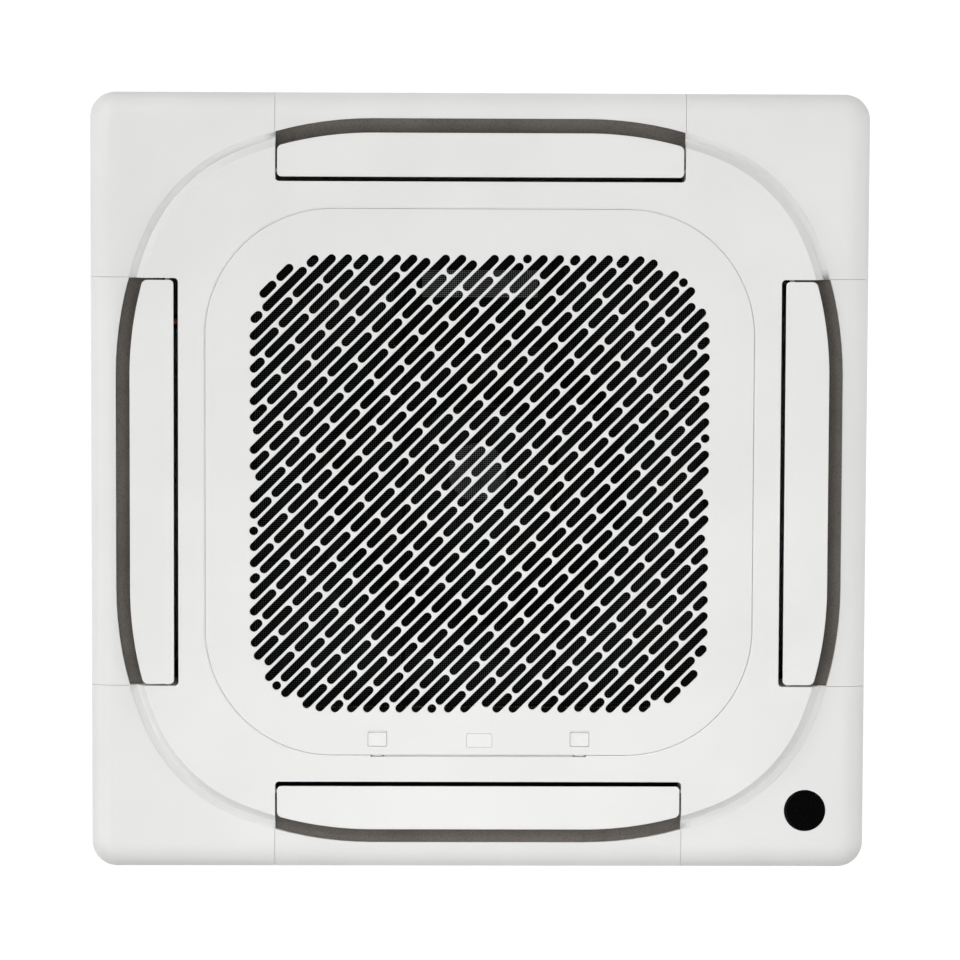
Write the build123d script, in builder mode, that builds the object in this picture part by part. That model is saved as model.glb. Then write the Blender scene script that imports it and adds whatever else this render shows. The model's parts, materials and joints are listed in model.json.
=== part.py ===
"""Four-way ceiling cassette air conditioner: indoor unit, decoration panel, louvers and intake grille.

Millimetres, +Z up. The origin is the centre of the four hanging-rod slots, on the top face of their lugs.
-Y is the hinge side of the intake grille, +Y its latch side. The panel faces down.
"""
import os
from math import asin, atan, atan2, cos, degrees, sin, sqrt

from build123d import *

# ---------------------------------------------------------------- driving dimensions
# heights
CEILING_Z = -105.0  # finished ceiling, where the panel rim lands
FACE_Z = -135.0  # lowest face of the panel and the grille
RIM_Z = -124.0  # flat of the rim beside the groove
RIM_EDGE_Z = -113.0  # where the rim's outer edge wall ends
GROOVE_Z = -119.0  # root of the corner groove
BODY_BOTTOM_Z = -100.0
BODY_TOP_Z = 143.0
SKIN = 3.0  # wall of the moulded panel

# panel outline
PANEL_HALF = 475.0
PANEL_CORNER = 31.0
DOME_WIDTH = 29.0  # the rim curves up over this width
DOME_FACETS = 3  # flats that the curve is drawn with
BULKHEAD_START = 429.0  # inner end of the stiffening walls beside the corner covers
TRAY_FAR = 470.0  # edge of the plates behind the corner covers
TRAY_WINDOW = (385.0, 443.0)
GROOVE_HALF = 444.0  # groove's outer curve at the middle of a side
GROOVE_STRAIGHT = 130.0  # half the straight stretch of that curve
GROOVE_SIDE_R = 450.0
GROOVE_CORNER_R = 210.0
GROOVE_SLOPE = 8.0  # width of the groove's outer slope
GROOVE_WIDTH = 17.5  # whole groove, and the gap outside each louver
OUTLET_HALF = 249.5  # half the length of an outlet
RIM_END = 250.0  # where the moulded rim ends and a corner cover begins
SEAM_GAP = 0.4
OUTLET_INNER = 367.5  # inner edge of an outlet opening
OUTLET_WALL = 362.0  # duct wall, set back behind that edge
OUTLET_MIDDLE = 410.0  # about the middle of an outlet, for its construction rectangles
OPENING_CORNER_R = 5.0

# louvers
LOUVER_INNER = 373.0
LOUVER_HALF = 247.0
LOUVER_THICK = 2.5
LOUVER_AXIS = 381.0
LOUVER_AXIS_Z = -121.0
LOUVER_CHEEK = 245.0  # outside face of the end cheeks
LOUVER_PIN_R = 3.0
LOUVER_SPINE = 8.0  # square bar that joins the cheeks along the axis
RIB_THICK = 3.0
LOUVER_RIBS = (-245.0, -81.5, 78.5, 242.0)
BUSH_SIDE = 11.0
DRIVE_R = 10.0  # geared motor behind the outlet's end wall
DRIVE_BORE = 8.0
DRIVE_LONG = 15.0
RUNNING_GAP = 0.08  # radial clearance of every turning fit

# intake grille
GRILLE_HALF = 334.5
GRILLE_CORNER = 155.0
GRILLE_GAP = 2.0
GRILLE_THICK = 3.0
GRILLE_WALL = 2.5  # the turned-up edge
GRILLE_RIM_Z = -125.0  # top of the grille's turned-up edge
HINGE_Y = -322.5  # the grille turns about this line in its own face
HINGE_CORE_R = 9.0
HINGE_ARCH = 2.5  # wall of the arches that ride on the cores
HINGE_AT = 106.0
HINGE_WIDE = 22.0
SHOE_WALL = 5.0
SHOE_CLEAR = 3.4  # the shoes keep this far from the hinge line, so the plate can swing past
SHOE_DEEP = 12.0
LATTICE_HALF = 280.5
ROW_CORNER = 100.0  # field's corners that the rows run into
SIDE_CORNER = 92.0  # field's corners that lie beside the rows
LATTICE_SHIFT = 1.5  # the perforated field sits this far towards the latches
ROW_PITCH = 14.02
SLOT_PITCH = 76.2
SLOT_LENGTH = 72.7
SLOT_WIDTH = 10.5
SLOT_SQUARED = 4.25  # a slot's square end stands this far past the centre of its round one
SLOT_LEAST = 0.6  # least centre line of a slot that the field's outline cuts short
LATCH_AT = 124.0
LATCH_Y = 315.0
LATCH_WIDE = 22.5
LATCH_DEEP = 16.5
LATCH_TRAVEL = 2.0
LATCH_PLAY = 0.5
LATCH_FLANGE = 31.0
TONGUE = 12.0
GUIDE_AT = 17.0  # the guides stand this far either side of a latch
GUIDE_HALF = 19.0
LIP_CLEAR = 0.4  # a thin lip of the frame closes the gap round the grille to this
LIP_THICK = 1.0
INTAKE_HALF = 290.0  # clear opening of the panel above the filter
INTAKE_CORNER = 100.0
LEDGE_Z = -115.0
FILTER_HALF = 283.0
FILTER_CORNER = 60.0
FILTER_BORDER = 8.0
FILTER_BAR = 4.0
FILTER_DEEP = 5.0

# receiver in the corner cover on the +X +Y corner
WINDOW_X = 402.5
WINDOW_Y = 404.0
WINDOW_R = 25.5
BOARD_POST = 28.5
BOARD_Z = -114.0
POST_AT = (285.0, 455.0)  # clip posts of a corner cover
POST_SIDE = 12.0

# indoor unit
BODY_HALF = 420.0
BODY_CHAMFER = 150.0
SHEET = 1.2
FOAM = 20.0
FLANGE_IN = 25.0  # inward flange at the cabinet's foot, measured from the outside
ROD_X = 390.0  # hanging rods, 780 x 680 pitch
ROD_Y = 340.0
LUG_THICK = 2.5
ROD_SLOT_WIDE = 12.0
ROD_SLOT_LONG = 26.0
LUG_WIDE = 92.0
LUG_REACH = 56.0
LUG_DROP = 64.0
LUG_CUT = 16.0

# drain pan and coil
PAN_HALF = 397.0
PAN_TOP_Z = -40.0
PAN_INNER = 285.0
PAN_INNER_CORNER = 60.0
THROAT = 270.0  # opening of the ledge that the bell mouth plate is held under
PAN_LEDGE_Z = -55.0  # the bell mouth plate is held under this ledge
DUCT_INNER = 360.0  # air ducts through the pan
DUCT_OUTER = 392.0
DUCT_HALF = 251.0
TROUGH_Z = -56.0
TROUGH_MARGIN = 5.0
SUMP_Z = -80.0
COIL_HALF = 336.0
COIL_THICK = 36.0
COIL_CORNER = 90.0
COIL_END = 180.0  # the coil stops this far from the axes at the pipe corner
COIL_TOP_Z = BODY_TOP_Z
END_PLATE = 1.5
SUMP_X = -262.0
SUMP_Y = -292.0

# fan
FAN_R = 245.0
FAN_INLET_R = 196.0
FAN_BLADES = 7
HUB_FOOT_Z = 55.0
HUB_CUP_R = 89.0
SHROUD_TOP_Z = 34.0
FLARE = 26.0  # height of the shroud's flare
LIP_R = 188.0  # inside of the bell mouth's lip
MOUTH_R = 228.0  # where the bell mouth leaves its plate
BELL_SKIN = 2.5
LIP_TOP_Z = -4.0
COLLAR_Z = -14.0  # foot of the shroud's collar, below the lip's top
INSERT_THICK = 7.0
NUT_THICK = 10.0
SHAFT_FOOT_Z = 34.0
MOTOR_FOOT_Z = 68.0
MOTOR_FLANGE_Z = 131.0
FLANGE_THICK = 4.0
MOUNT_RING_R = 83.0
HUB_TOP_Z = 119.0
SHAFT_R = 8.0
MOTOR_R = 75.0

# pipework
GAS_Z = 20.0
LIQUID_Z = 62.0
HEADER_R = 10.0
PIPE_X = COIL_THICK / 2 - COIL_HALF  # the headers stand on the end plate's middle
PIPE_Y = -COIL_END - END_PLATE - HEADER_R
GAS_R = 7.94
LIQUID_R = 4.76
GAS_NOSE_R = 9.5
LIQUID_NOSE_R = 7.9
UNION_X = -452.0
UNION_LONG = 30.0
NOSE_LONG = 20.0
DRAIN_X = -250.0
DRAIN_Z = 45.0
DRAIN_R = 16.0
SOCKET_R = 15.0  # the drain socket inside the wall
DRAIN_BORE = 13.0
CABLE_X = 200.0
CABLE_Z = 60.0
CABLE_R = 12.0
GROMMET_R = 17.0
PUMP_Y = -306.0
PUMP_HEAD_Z = -15.0
FLOAT_X = -298.0
FLOAT_Y = -284.0
STEM_R = 3.0
BOX_X = 208.0  # control box
BOX_Y = 110.0
BOX_AT = -220.0
BOX_FOOT_Z = -96.0
BOX_WALL = 1.5

SIDES = {"latch_side": 0, "right": -90, "hinge_side": 180, "left": 90}
CORNERS = {"right_latch": 0, "left_latch": 90, "left_hinge": 180, "right_hinge": 270}

os.makedirs("parts", exist_ok=True)


def save(part, name):
    """Label a finished piece and write it to its own file."""
    part.label = name
    export_step(part, f"parts/{name}.step")


# ---------------------------------------------------------------- outlines shared by several pieces
def soft_square(inset):
    """Edges of the panel's soft square: straight, wide arc, corner arc, wide arc, four times round."""
    half = GROOVE_HALF - inset
    side_r = GROOVE_SIDE_R - inset
    corner_r = GROOVE_CORNER_R - inset
    drop = half - side_r
    apart = GROOVE_SIDE_R - GROOVE_CORNER_R
    total = GROOVE_STRAIGHT + drop
    spread = GROOVE_STRAIGHT**2 + drop**2 - apart**2
    centre = (total + sqrt(total**2 - 2 * spread)) / 2
    turn = degrees(atan2(centre - drop, centre - GROOVE_STRAIGHT))
    with BuildLine() as quarter:
        Line((-GROOVE_STRAIGHT, half), (GROOVE_STRAIGHT, half))
        CenterArc((GROOVE_STRAIGHT, drop), side_r, 90, turn - 90)
        CenterArc((centre, centre), corner_r, turn, 90 - 2 * turn)
        CenterArc((drop, GROOVE_STRAIGHT), side_r, 90 - turn, turn - 90)
    return [edge.rotate(Axis.Z, -90 * k) for k in range(4) for edge in quarter.line.edges()]


def chamfered_square(half, chamfer, mode=Mode.ADD):
    """Square with its four corners cut off."""
    near = half - chamfer
    Polygon(
        (near, half), (half, near), (half, -near), (near, -half),
        (-near, -half), (-half, -near), (-half, near), (-near, half),
        align=None, mode=mode,
    )


def octagon(inset):
    """Chamfered square of the cabinet, every side moved in by inset."""
    chamfered_square(BODY_HALF - inset, BODY_CHAMFER - inset * (2 - sqrt(2)))


def duct_openings():
    """Cut the four air ducts out of the sketch in hand."""
    with PolarLocations((DUCT_INNER + DUCT_OUTER) / 2, 4):
        Rectangle(DUCT_OUTER - DUCT_INNER, 2 * DUCT_HALF, mode=Mode.SUBTRACT)


def outlet_sketch(inner, half, inset):
    """Outline on the +Y side: straight inner edge and ends, outer edge on the soft square."""
    with Locations((0, OUTLET_MIDDLE)):
        Rectangle(2 * half, 2 * (OUTLET_MIDDLE - inner))
    make_face(soft_square(inset), mode=Mode.INTERSECT)


def side_section(x):
    """Plane across the +Y side at x, whose local x points outwards and whose local y is up."""
    return Plane.YZ.offset(x)


# ---------------------------------------------------------------- decoration panel
def rim_section(shift):
    """Section of the domed rim, measured outwards from the panel centre less shift."""
    outer = PANEL_HALF - shift
    flat = outer - DOME_WIDTH
    rise = RIM_EDGE_Z - RIM_Z
    radius = (DOME_WIDTH**2 + rise**2) / (2 * rise)
    turns = [asin(DOME_WIDTH / radius) * k / DOME_FACETS for k in range(DOME_FACETS + 1)]
    dome = [(flat + radius * sin(a), RIM_Z + radius * (1 - cos(a))) for a in turns]
    Polygon(
        *dome, (outer, CEILING_Z), (outer - SKIN, CEILING_Z),
        (outer - SKIN, RIM_EDGE_Z + SKIN / 2), (flat, RIM_Z + SKIN),
        align=None,
    )


def bulkhead():
    """Wall across the hollow of the rim, short of the ceiling plane, on the +Y side."""
    inside = PANEL_HALF - SKIN
    top = CEILING_Z - 2
    Polygon(
        (BULKHEAD_START, RIM_Z + SKIN), (PANEL_HALF - DOME_WIDTH, RIM_Z + SKIN),
        (inside, RIM_EDGE_Z + SKIN / 2), (inside, top), (BULKHEAD_START, top),
        align=None,
    )


def rim_side():
    """The rim between two corner covers, with its stiffening walls, on the +Y side."""
    with BuildPart() as side:
        with BuildSketch(side_section(-RIM_END)):
            rim_section(0)
        extrude(amount=2 * RIM_END)
        for start in (-RIM_END, RIM_END - SKIN):
            with BuildSketch(side_section(start)):
                bulkhead()
            extrude(amount=SKIN)
        with BuildSketch(Plane.XY.offset(RIM_Z)):
            with Locations((0, PANEL_HALF - DOME_WIDTH - 20)):
                Rectangle(2 * RIM_END, 40)
            make_face(soft_square(0), mode=Mode.SUBTRACT)
        extrude(amount=SKIN)
    return side.part


def panel_frame():
    """The moulded panel: rim, groove, island face, intake well, duct collars and corner trays."""
    root = GROOVE_Z + SKIN
    with BuildPart() as frame:
        # wall behind the groove, up to the ceiling plane, and the plate that the groove is sunk in
        with BuildSketch(Plane.XY.offset(RIM_Z + SKIN)):
            make_face(soft_square(-SKIN))
        extrude(amount=CEILING_Z - RIM_Z - SKIN)
        with BuildSketch(Plane.XY.offset(RIM_Z)):
            make_face(soft_square(0))
        extrude(amount=root - RIM_Z)
        with BuildSketch(Plane.XY.offset(root)):
            make_face(soft_square(0))
        extrude(amount=CEILING_Z - root, mode=Mode.SUBTRACT)
        # groove's outer slope, then the island standing down from its root
        with BuildSketch(Plane.XY.offset(GROOVE_Z)):
            make_face(soft_square(GROOVE_SLOPE))
        slope = degrees(atan(GROOVE_SLOPE / (GROOVE_Z - RIM_Z)))
        extrude(amount=RIM_Z - GROOVE_Z, taper=-slope, mode=Mode.SUBTRACT)
        with BuildSketch(Plane.XY.offset(GROOVE_Z)):
            make_face(soft_square(GROOVE_SLOPE))
        slope = degrees(atan((GROOVE_WIDTH - GROOVE_SLOPE) / (GROOVE_Z - FACE_Z)))
        extrude(amount=FACE_Z - GROOVE_Z, taper=slope)
        with BuildSketch(Plane.XY.offset(FACE_Z + SKIN)):
            make_face(soft_square(GROOVE_WIDTH + SKIN))
        extrude(amount=root - FACE_Z - SKIN, mode=Mode.SUBTRACT)
        # intake well with its ledge
        well = GRILLE_HALF + GRILLE_GAP
        well_corner = GRILLE_CORNER + GRILLE_GAP
        with BuildSketch(Plane.XY.offset(FACE_Z)):
            RectangleRounded(2 * (well + SKIN), 2 * (well + SKIN), well_corner + SKIN)
        extrude(amount=LEDGE_Z + SKIN - FACE_Z)
        with BuildSketch(Plane.XY.offset(LEDGE_Z)):
            RectangleRounded(2 * (INTAKE_HALF + SKIN), 2 * (INTAKE_HALF + SKIN), INTAKE_CORNER + SKIN)
        extrude(amount=CEILING_Z - LEDGE_Z)
        with BuildSketch(Plane.XY.offset(FACE_Z)):
            RectangleRounded(2 * well, 2 * well, well_corner)
        extrude(amount=LEDGE_Z - FACE_Z, mode=Mode.SUBTRACT)
        with BuildSketch(Plane.XY.offset(FACE_Z)):
            RectangleRounded(2 * INTAKE_HALF, 2 * INTAKE_HALF, INTAKE_CORNER)
        extrude(amount=CEILING_Z - FACE_Z, mode=Mode.SUBTRACT)
        # lip behind the gap round the grille, open where the latch tongues pass
        lip = GRILLE_HALF + LIP_CLEAR
        with BuildSketch(Plane.XY.offset(FACE_Z + LIP_THICK)):
            RectangleRounded(2 * (well + 1), 2 * (well + 1), well_corner + 1)
            RectangleRounded(2 * lip, 2 * lip, GRILLE_CORNER + LIP_CLEAR, mode=Mode.SUBTRACT)
            with Locations((-LATCH_AT, well), (LATCH_AT, well)):
                Rectangle(TONGUE + 4, 8, mode=Mode.SUBTRACT)
        extrude(amount=LIP_THICK)
        # rim, outlets and their collars, four times round
        for turn in SIDES.values():
            add(rim_side().rotate(Axis.Z, turn))
            add(outlet_collar().rotate(Axis.Z, turn))
            add(outlet_cut().rotate(Axis.Z, turn), mode=Mode.SUBTRACT)
        # plates behind the corner covers, with the windows that reach the hanging rods
        for turn in CORNERS.values():
            add(corner_tray().rotate(Axis.Z, turn))
    return frame.part


def outlet_collar():
    """Walls round one outlet, from the face skin to the ceiling plane, on the +Y side."""
    with BuildPart() as collar:
        with BuildSketch(Plane.XY.offset(FACE_Z + 1)):
            outlet_sketch(OUTLET_WALL - SKIN, OUTLET_HALF + SKIN, GROOVE_WIDTH)
        extrude(amount=GROOVE_Z - FACE_Z - 1)
        with BuildSketch(Plane.XY.offset(GROOVE_Z)):
            outlet_sketch(OUTLET_WALL - SKIN, OUTLET_HALF + SKIN, 0)
        extrude(amount=CEILING_Z - GROOVE_Z)
    return collar.part


def outlet_cut():
    """The air passage through one outlet and the openings for the louver's pins, on the +Y side."""
    with BuildPart() as cut:
        with BuildSketch(Plane.XY.offset(FACE_Z - 1)) as opening:
            outlet_sketch(OUTLET_INNER, OUTLET_HALF, 0)
            inner = opening.vertices().filter_by(lambda v: v.Y < OUTLET_INNER + 1)
            fillet(inner, OPENING_CORNER_R)
        extrude(amount=1 + SKIN)
        with BuildSketch(Plane.XY.offset(FACE_Z + SKIN)):
            outlet_sketch(OUTLET_WALL, OUTLET_HALF, 0)
        extrude(amount=CEILING_Z - FACE_Z)
        with BuildSketch(Plane.YZ.offset(-OUTLET_HALF - SKIN)):
            with Locations((LOUVER_AXIS, LOUVER_AXIS_Z)):
                Rectangle(BUSH_SIDE, BUSH_SIDE)
        extrude(amount=SKIN)
        with BuildSketch(Plane.YZ.offset(OUTLET_HALF)):
            with Locations((LOUVER_AXIS, LOUVER_AXIS_Z)):
                Circle(LOUVER_PIN_R + 1)
        extrude(amount=SKIN)
    return cut.part


def corner_tray():
    """Plate across the +X +Y corner at the ceiling plane, with a window over the hanging rod."""
    near = OUTLET_HALF - SKIN
    cut = TRAY_FAR - 22
    low, high = TRAY_WINDOW
    with BuildPart() as tray:
        with BuildSketch(Plane.XY.offset(CEILING_Z - SKIN)):
            Polygon(
                (near, near), (TRAY_FAR, near), (TRAY_FAR, cut), (cut, TRAY_FAR), (near, TRAY_FAR),
                align=None,
            )
            make_face(soft_square(0), mode=Mode.SUBTRACT)
            with Locations(((low + high) / 2, (low + high) / 2)):
                Rectangle(high - low, high - low, mode=Mode.SUBTRACT)
        extrude(amount=SKIN)
    return tray.part


def corner_cover(window):
    """Snap-on cover of the rim's +X +Y corner, with clip posts that land on the plate behind it."""
    start = RIM_END + SEAM_GAP
    reach = PANEL_HALF - PANEL_CORNER
    flat = PANEL_HALF - DOME_WIDTH
    with BuildPart() as cover:
        with BuildSketch(Plane(origin=(0, reach, 0), x_dir=(1, 0, 0), z_dir=(0, -1, 0))):
            rim_section(0)
        extrude(amount=reach - start)
        with BuildSketch(side_section(start)):
            rim_section(0)
        extrude(amount=reach - start)
        with BuildSketch(Plane(origin=(reach, reach, 0), x_dir=(1, 0, 0), z_dir=(0, -1, 0))):
            rim_section(reach)
        revolve(axis=Axis((reach, reach, 0), (0, 0, 1)), revolution_arc=90)
        with BuildSketch(Plane.XY.offset(RIM_Z)) as plate:
            with Locations(((start + flat) / 2, (start + flat) / 2)):
                Rectangle(flat - start, flat - start)
            fillet(plate.vertices().sort_by(lambda v: v.X + v.Y)[-1], PANEL_CORNER - DOME_WIDTH)
            make_face(soft_square(0), mode=Mode.SUBTRACT)
        extrude(amount=SKIN)
        with BuildSketch(Plane.XY.offset(RIM_Z + SKIN)):
            with Locations(POST_AT, POST_AT[::-1]):
                Rectangle(POST_SIDE, POST_SIDE)
        extrude(amount=CEILING_Z - RIM_Z - 2 * SKIN)
        if window:
            with BuildSketch(Plane.XY.offset(RIM_Z)):
                with Locations((WINDOW_X, WINDOW_Y)):
                    Circle(WINDOW_R)
            extrude(amount=SKIN, mode=Mode.SUBTRACT)
            with BuildSketch(Plane.XY.offset(RIM_Z + SKIN)):
                with Locations((WINDOW_X - BOARD_POST, WINDOW_Y), (WINDOW_X + BOARD_POST, WINDOW_Y)):
                    Rectangle(3, 8)
            extrude(amount=BOARD_Z - RIM_Z - SKIN)
    return cover.part


# ---------------------------------------------------------------- louvers and drives, drawn on the +Y side
def louver():
    """Blade with a curved outer edge, hung by cheeks and ribs from a spine that ends in pivot pins."""
    with BuildPart() as blade:
        with BuildSketch(Plane.XY.offset(FACE_Z)) as outline:
            outlet_sketch(LOUVER_INNER, LOUVER_HALF, GROOVE_WIDTH)
            ends = outline.vertices().filter_by(lambda v: abs(v.X) > LOUVER_HALF - 1)
            fillet(ends, OPENING_CORNER_R)
        extrude(amount=LOUVER_THICK)
        for at in LOUVER_RIBS:
            with BuildSketch(side_section(at)):
                Polygon(
                    (LOUVER_AXIS - 6, FACE_Z + 2), (LOUVER_AXIS + 24, FACE_Z + 2),
                    (LOUVER_AXIS + 5, LOUVER_AXIS_Z + 5), (LOUVER_AXIS - 5, LOUVER_AXIS_Z + 5),
                    align=None,
                )
            extrude(amount=RIB_THICK)
        with BuildSketch(side_section(-LOUVER_CHEEK)):
            with Locations((LOUVER_AXIS, LOUVER_AXIS_Z)):
                Rectangle(LOUVER_SPINE, LOUVER_SPINE)
        extrude(amount=2 * LOUVER_CHEEK)
        bush_end = -OUTLET_HALF - SKIN
        drive_end = OUTLET_HALF + SKIN + DRIVE_BORE
        for start, end in ((bush_end, -LOUVER_CHEEK), (LOUVER_CHEEK, drive_end)):
            with BuildSketch(side_section(start)):
                with Locations((LOUVER_AXIS, LOUVER_AXIS_Z)):
                    Circle(LOUVER_PIN_R)
            extrude(amount=end - start)
    return blade.part


def louver_motor():
    """Geared stepper motor on the outlet's +X end wall, bored for the louver's drive pin."""
    with BuildPart() as motor:
        with BuildSketch(side_section(OUTLET_HALF + SKIN)):
            with Locations((LOUVER_AXIS, LOUVER_AXIS_Z)):
                Circle(DRIVE_R)
                Rectangle(2 * DRIVE_R + 12, 7)
        extrude(amount=1.5)
        with BuildSketch(side_section(OUTLET_HALF + SKIN)):
            with Locations((LOUVER_AXIS, LOUVER_AXIS_Z)):
                Circle(DRIVE_R)
        extrude(amount=DRIVE_LONG)
        with BuildSketch(side_section(OUTLET_HALF + SKIN)):
            with Locations((LOUVER_AXIS, LOUVER_AXIS_Z)):
                Circle(LOUVER_PIN_R + RUNNING_GAP)
        extrude(amount=DRIVE_BORE + 0.5, mode=Mode.SUBTRACT)
    return motor.part


def louver_bush():
    """Square snap-in bush in the outlet's -X end wall."""
    with BuildPart() as bush:
        with BuildSketch(side_section(-OUTLET_HALF - SKIN)):
            with Locations((LOUVER_AXIS, LOUVER_AXIS_Z)):
                Rectangle(BUSH_SIDE, BUSH_SIDE)
                Circle(LOUVER_PIN_R + RUNNING_GAP, mode=Mode.SUBTRACT)
        extrude(amount=SKIN)
    return bush.part


def outlet_deflector():
    """Foam wedge that turns the air outwards under the outlet's outer wall."""
    with BuildPart() as wedge:
        with BuildSketch(side_section(-OUTLET_HALF)):
            Polygon(
                (DUCT_OUTER, CEILING_Z - SKIN), (GROOVE_HALF, RIM_Z + SKIN),
                (GROOVE_HALF, CEILING_Z), (DUCT_OUTER, CEILING_Z),
                align=None,
            )
        extrude(amount=2 * OUTLET_HALF)
        with BuildSketch(Plane.XY.offset(RIM_Z)):
            make_face(soft_square(0))
        extrude(amount=CEILING_Z - RIM_Z, mode=Mode.INTERSECT)
    return wedge.part


# ---------------------------------------------------------------- intake grille
def lattice_reach(across):
    """Half the length of the 45-degree row that lies across away from the field's centre."""
    half = LATTICE_HALF - SLOT_WIDTH / 2
    ahead = ROW_CORNER - SLOT_WIDTH / 2
    beside = SIDE_CORNER - SLOT_WIDTH / 2
    centre = (half - beside) * sqrt(2)
    across = abs(across)
    if across <= ahead / sqrt(2):
        return (half - ahead) * sqrt(2) + sqrt(ahead**2 - across**2)
    if across <= centre + beside / sqrt(2):
        return half * sqrt(2) - across
    return sqrt(beside**2 - (across - centre) ** 2)


def slot_wire(across, start, end):
    """Outline of one slot about a centre line that runs from start to end along its row."""
    half = SLOT_WIDTH / 2
    low = start - SLOT_SQUARED
    high = end + SLOT_SQUARED
    place = [
        ((across + side + along) / sqrt(2), (across + side - along) / sqrt(2) + LATTICE_SHIFT)
        for along, side in ((high, half), (low, half), (low, -half), (high, -half))
    ]
    return Wire.make_polygon([(x, y, 0) for x, y in place], close=True)


def lattice_slots():
    """Outlines of all slots: staggered rows at 45 degrees, clipped to the field's rounded outline."""
    straight = (SLOT_LENGTH - SLOT_WIDTH) / 2
    farthest = (LATTICE_HALF - SIDE_CORNER) * sqrt(2) + SIDE_CORNER - SLOT_WIDTH / 2
    last_row = int(farthest / ROW_PITCH)
    slots = []
    for row in range(-last_row, last_row + 1):
        across = row * ROW_PITCH
        reach = lattice_reach(across)
        shift = SLOT_PITCH / 2 if row % 2 else 0.0
        most = int(reach / SLOT_PITCH) + 2
        for k in range(-most, most + 1):
            middle = k * SLOT_PITCH + shift
            start = max(middle - straight, -reach)
            end = min(middle + straight, reach)
            if end - start > -SLOT_LEAST:
                grow = max(SLOT_LEAST - (end - start), 0.0) / 2
                slots.append(slot_wire(across, start - grow, end + grow))
    return slots


def latch_opening(at):
    """Outline of the opening that a latch's thumb pad slides in."""
    left = at - LATCH_WIDE / 2 - LATCH_PLAY
    right = at + LATCH_WIDE / 2 + LATCH_PLAY
    near = LATCH_Y - LATCH_DEEP / 2 - LATCH_TRAVEL - LATCH_PLAY
    far = LATCH_Y + LATCH_DEEP / 2 + LATCH_PLAY
    corners = [(left, near, 0), (right, near, 0), (right, far, 0), (left, far, 0)]
    return Wire.make_polygon(corners, close=True)


def intake_grille():
    """Moulded grille: slotted plate with a turned-up edge, hinge arches and latch guides."""
    outline = RectangleRounded(2 * GRILLE_HALF, 2 * GRILLE_HALF, GRILLE_CORNER).face().outer_wire()
    openings = lattice_slots() + [latch_opening(-LATCH_AT), latch_opening(LATCH_AT)]
    plate = Face(outline, openings)
    back = FACE_Z + GRILLE_THICK
    with BuildPart() as grille:
        with BuildSketch(Plane.XY.offset(FACE_Z)):
            add(plate)
        extrude(amount=GRILLE_THICK)
        with BuildSketch(Plane.XY.offset(back)):
            RectangleRounded(2 * GRILLE_HALF, 2 * GRILLE_HALF, GRILLE_CORNER)
            inner = GRILLE_HALF - GRILLE_WALL
            RectangleRounded(2 * inner, 2 * inner, GRILLE_CORNER - GRILLE_WALL, mode=Mode.SUBTRACT)
            with Locations((-HINGE_AT, -GRILLE_HALF), (HINGE_AT, -GRILLE_HALF)):
                Rectangle(HINGE_WIDE + 4 * SHOE_WALL, 12, mode=Mode.SUBTRACT)
            with Locations((-LATCH_AT, GRILLE_HALF), (LATCH_AT, GRILLE_HALF)):
                Rectangle(TONGUE + 4, 12, mode=Mode.SUBTRACT)
        extrude(amount=GRILLE_RIM_Z - back)
        for at in (-HINGE_AT, HINGE_AT):
            with BuildSketch(Plane.YZ.offset(at - HINGE_WIDE / 2)):
                with Locations((HINGE_Y, FACE_Z)):
                    Circle(HINGE_CORE_R + RUNNING_GAP + HINGE_ARCH)
                    Circle(HINGE_CORE_R + RUNNING_GAP, mode=Mode.SUBTRACT)
                with Locations((HINGE_Y, back + 9)):
                    Rectangle(30, 20, mode=Mode.INTERSECT)
            extrude(amount=HINGE_WIDE)
        for at in (-LATCH_AT, LATCH_AT):
            for side in (-1, 1):
                with BuildSketch(Plane.XZ.offset(-LATCH_Y - GUIDE_HALF)):
                    guide = at + side * GUIDE_AT
                    Polygon(
                        (guide + side, back), (guide + side, back + 3.4),
                        (guide - 3 * side, back + 3.4), (guide - 3 * side, back + 2.1),
                        (guide - side, back + 2.1), (guide - side, back),
                        align=None,
                    )
                extrude(amount=2 * GUIDE_HALF)
    return grille.part


def grille_latch(at):
    """Slide latch: thumb pad in the grille's face, guided flange behind it and a tongue."""
    pad_back = FACE_Z + GRILLE_THICK + 0.3
    with BuildPart() as latch:
        with BuildSketch(Plane.XY.offset(FACE_Z)):
            with Locations((at, LATCH_Y)):
                RectangleRounded(LATCH_WIDE, LATCH_DEEP, 2)
        extrude(amount=pad_back - FACE_Z)
        with BuildSketch(Plane.XY.offset(pad_back)):
            with Locations((at, LATCH_Y - 1)):
                Rectangle(LATCH_FLANGE, LATCH_FLANGE)
        extrude(amount=1.5)
        with BuildSketch(Plane.XY.offset(pad_back)):
            with Locations((at, GRILLE_HALF + 1.5 - TONGUE / 2)):
                Rectangle(TONGUE, TONGUE)
        extrude(amount=3)
    return latch.part


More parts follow.
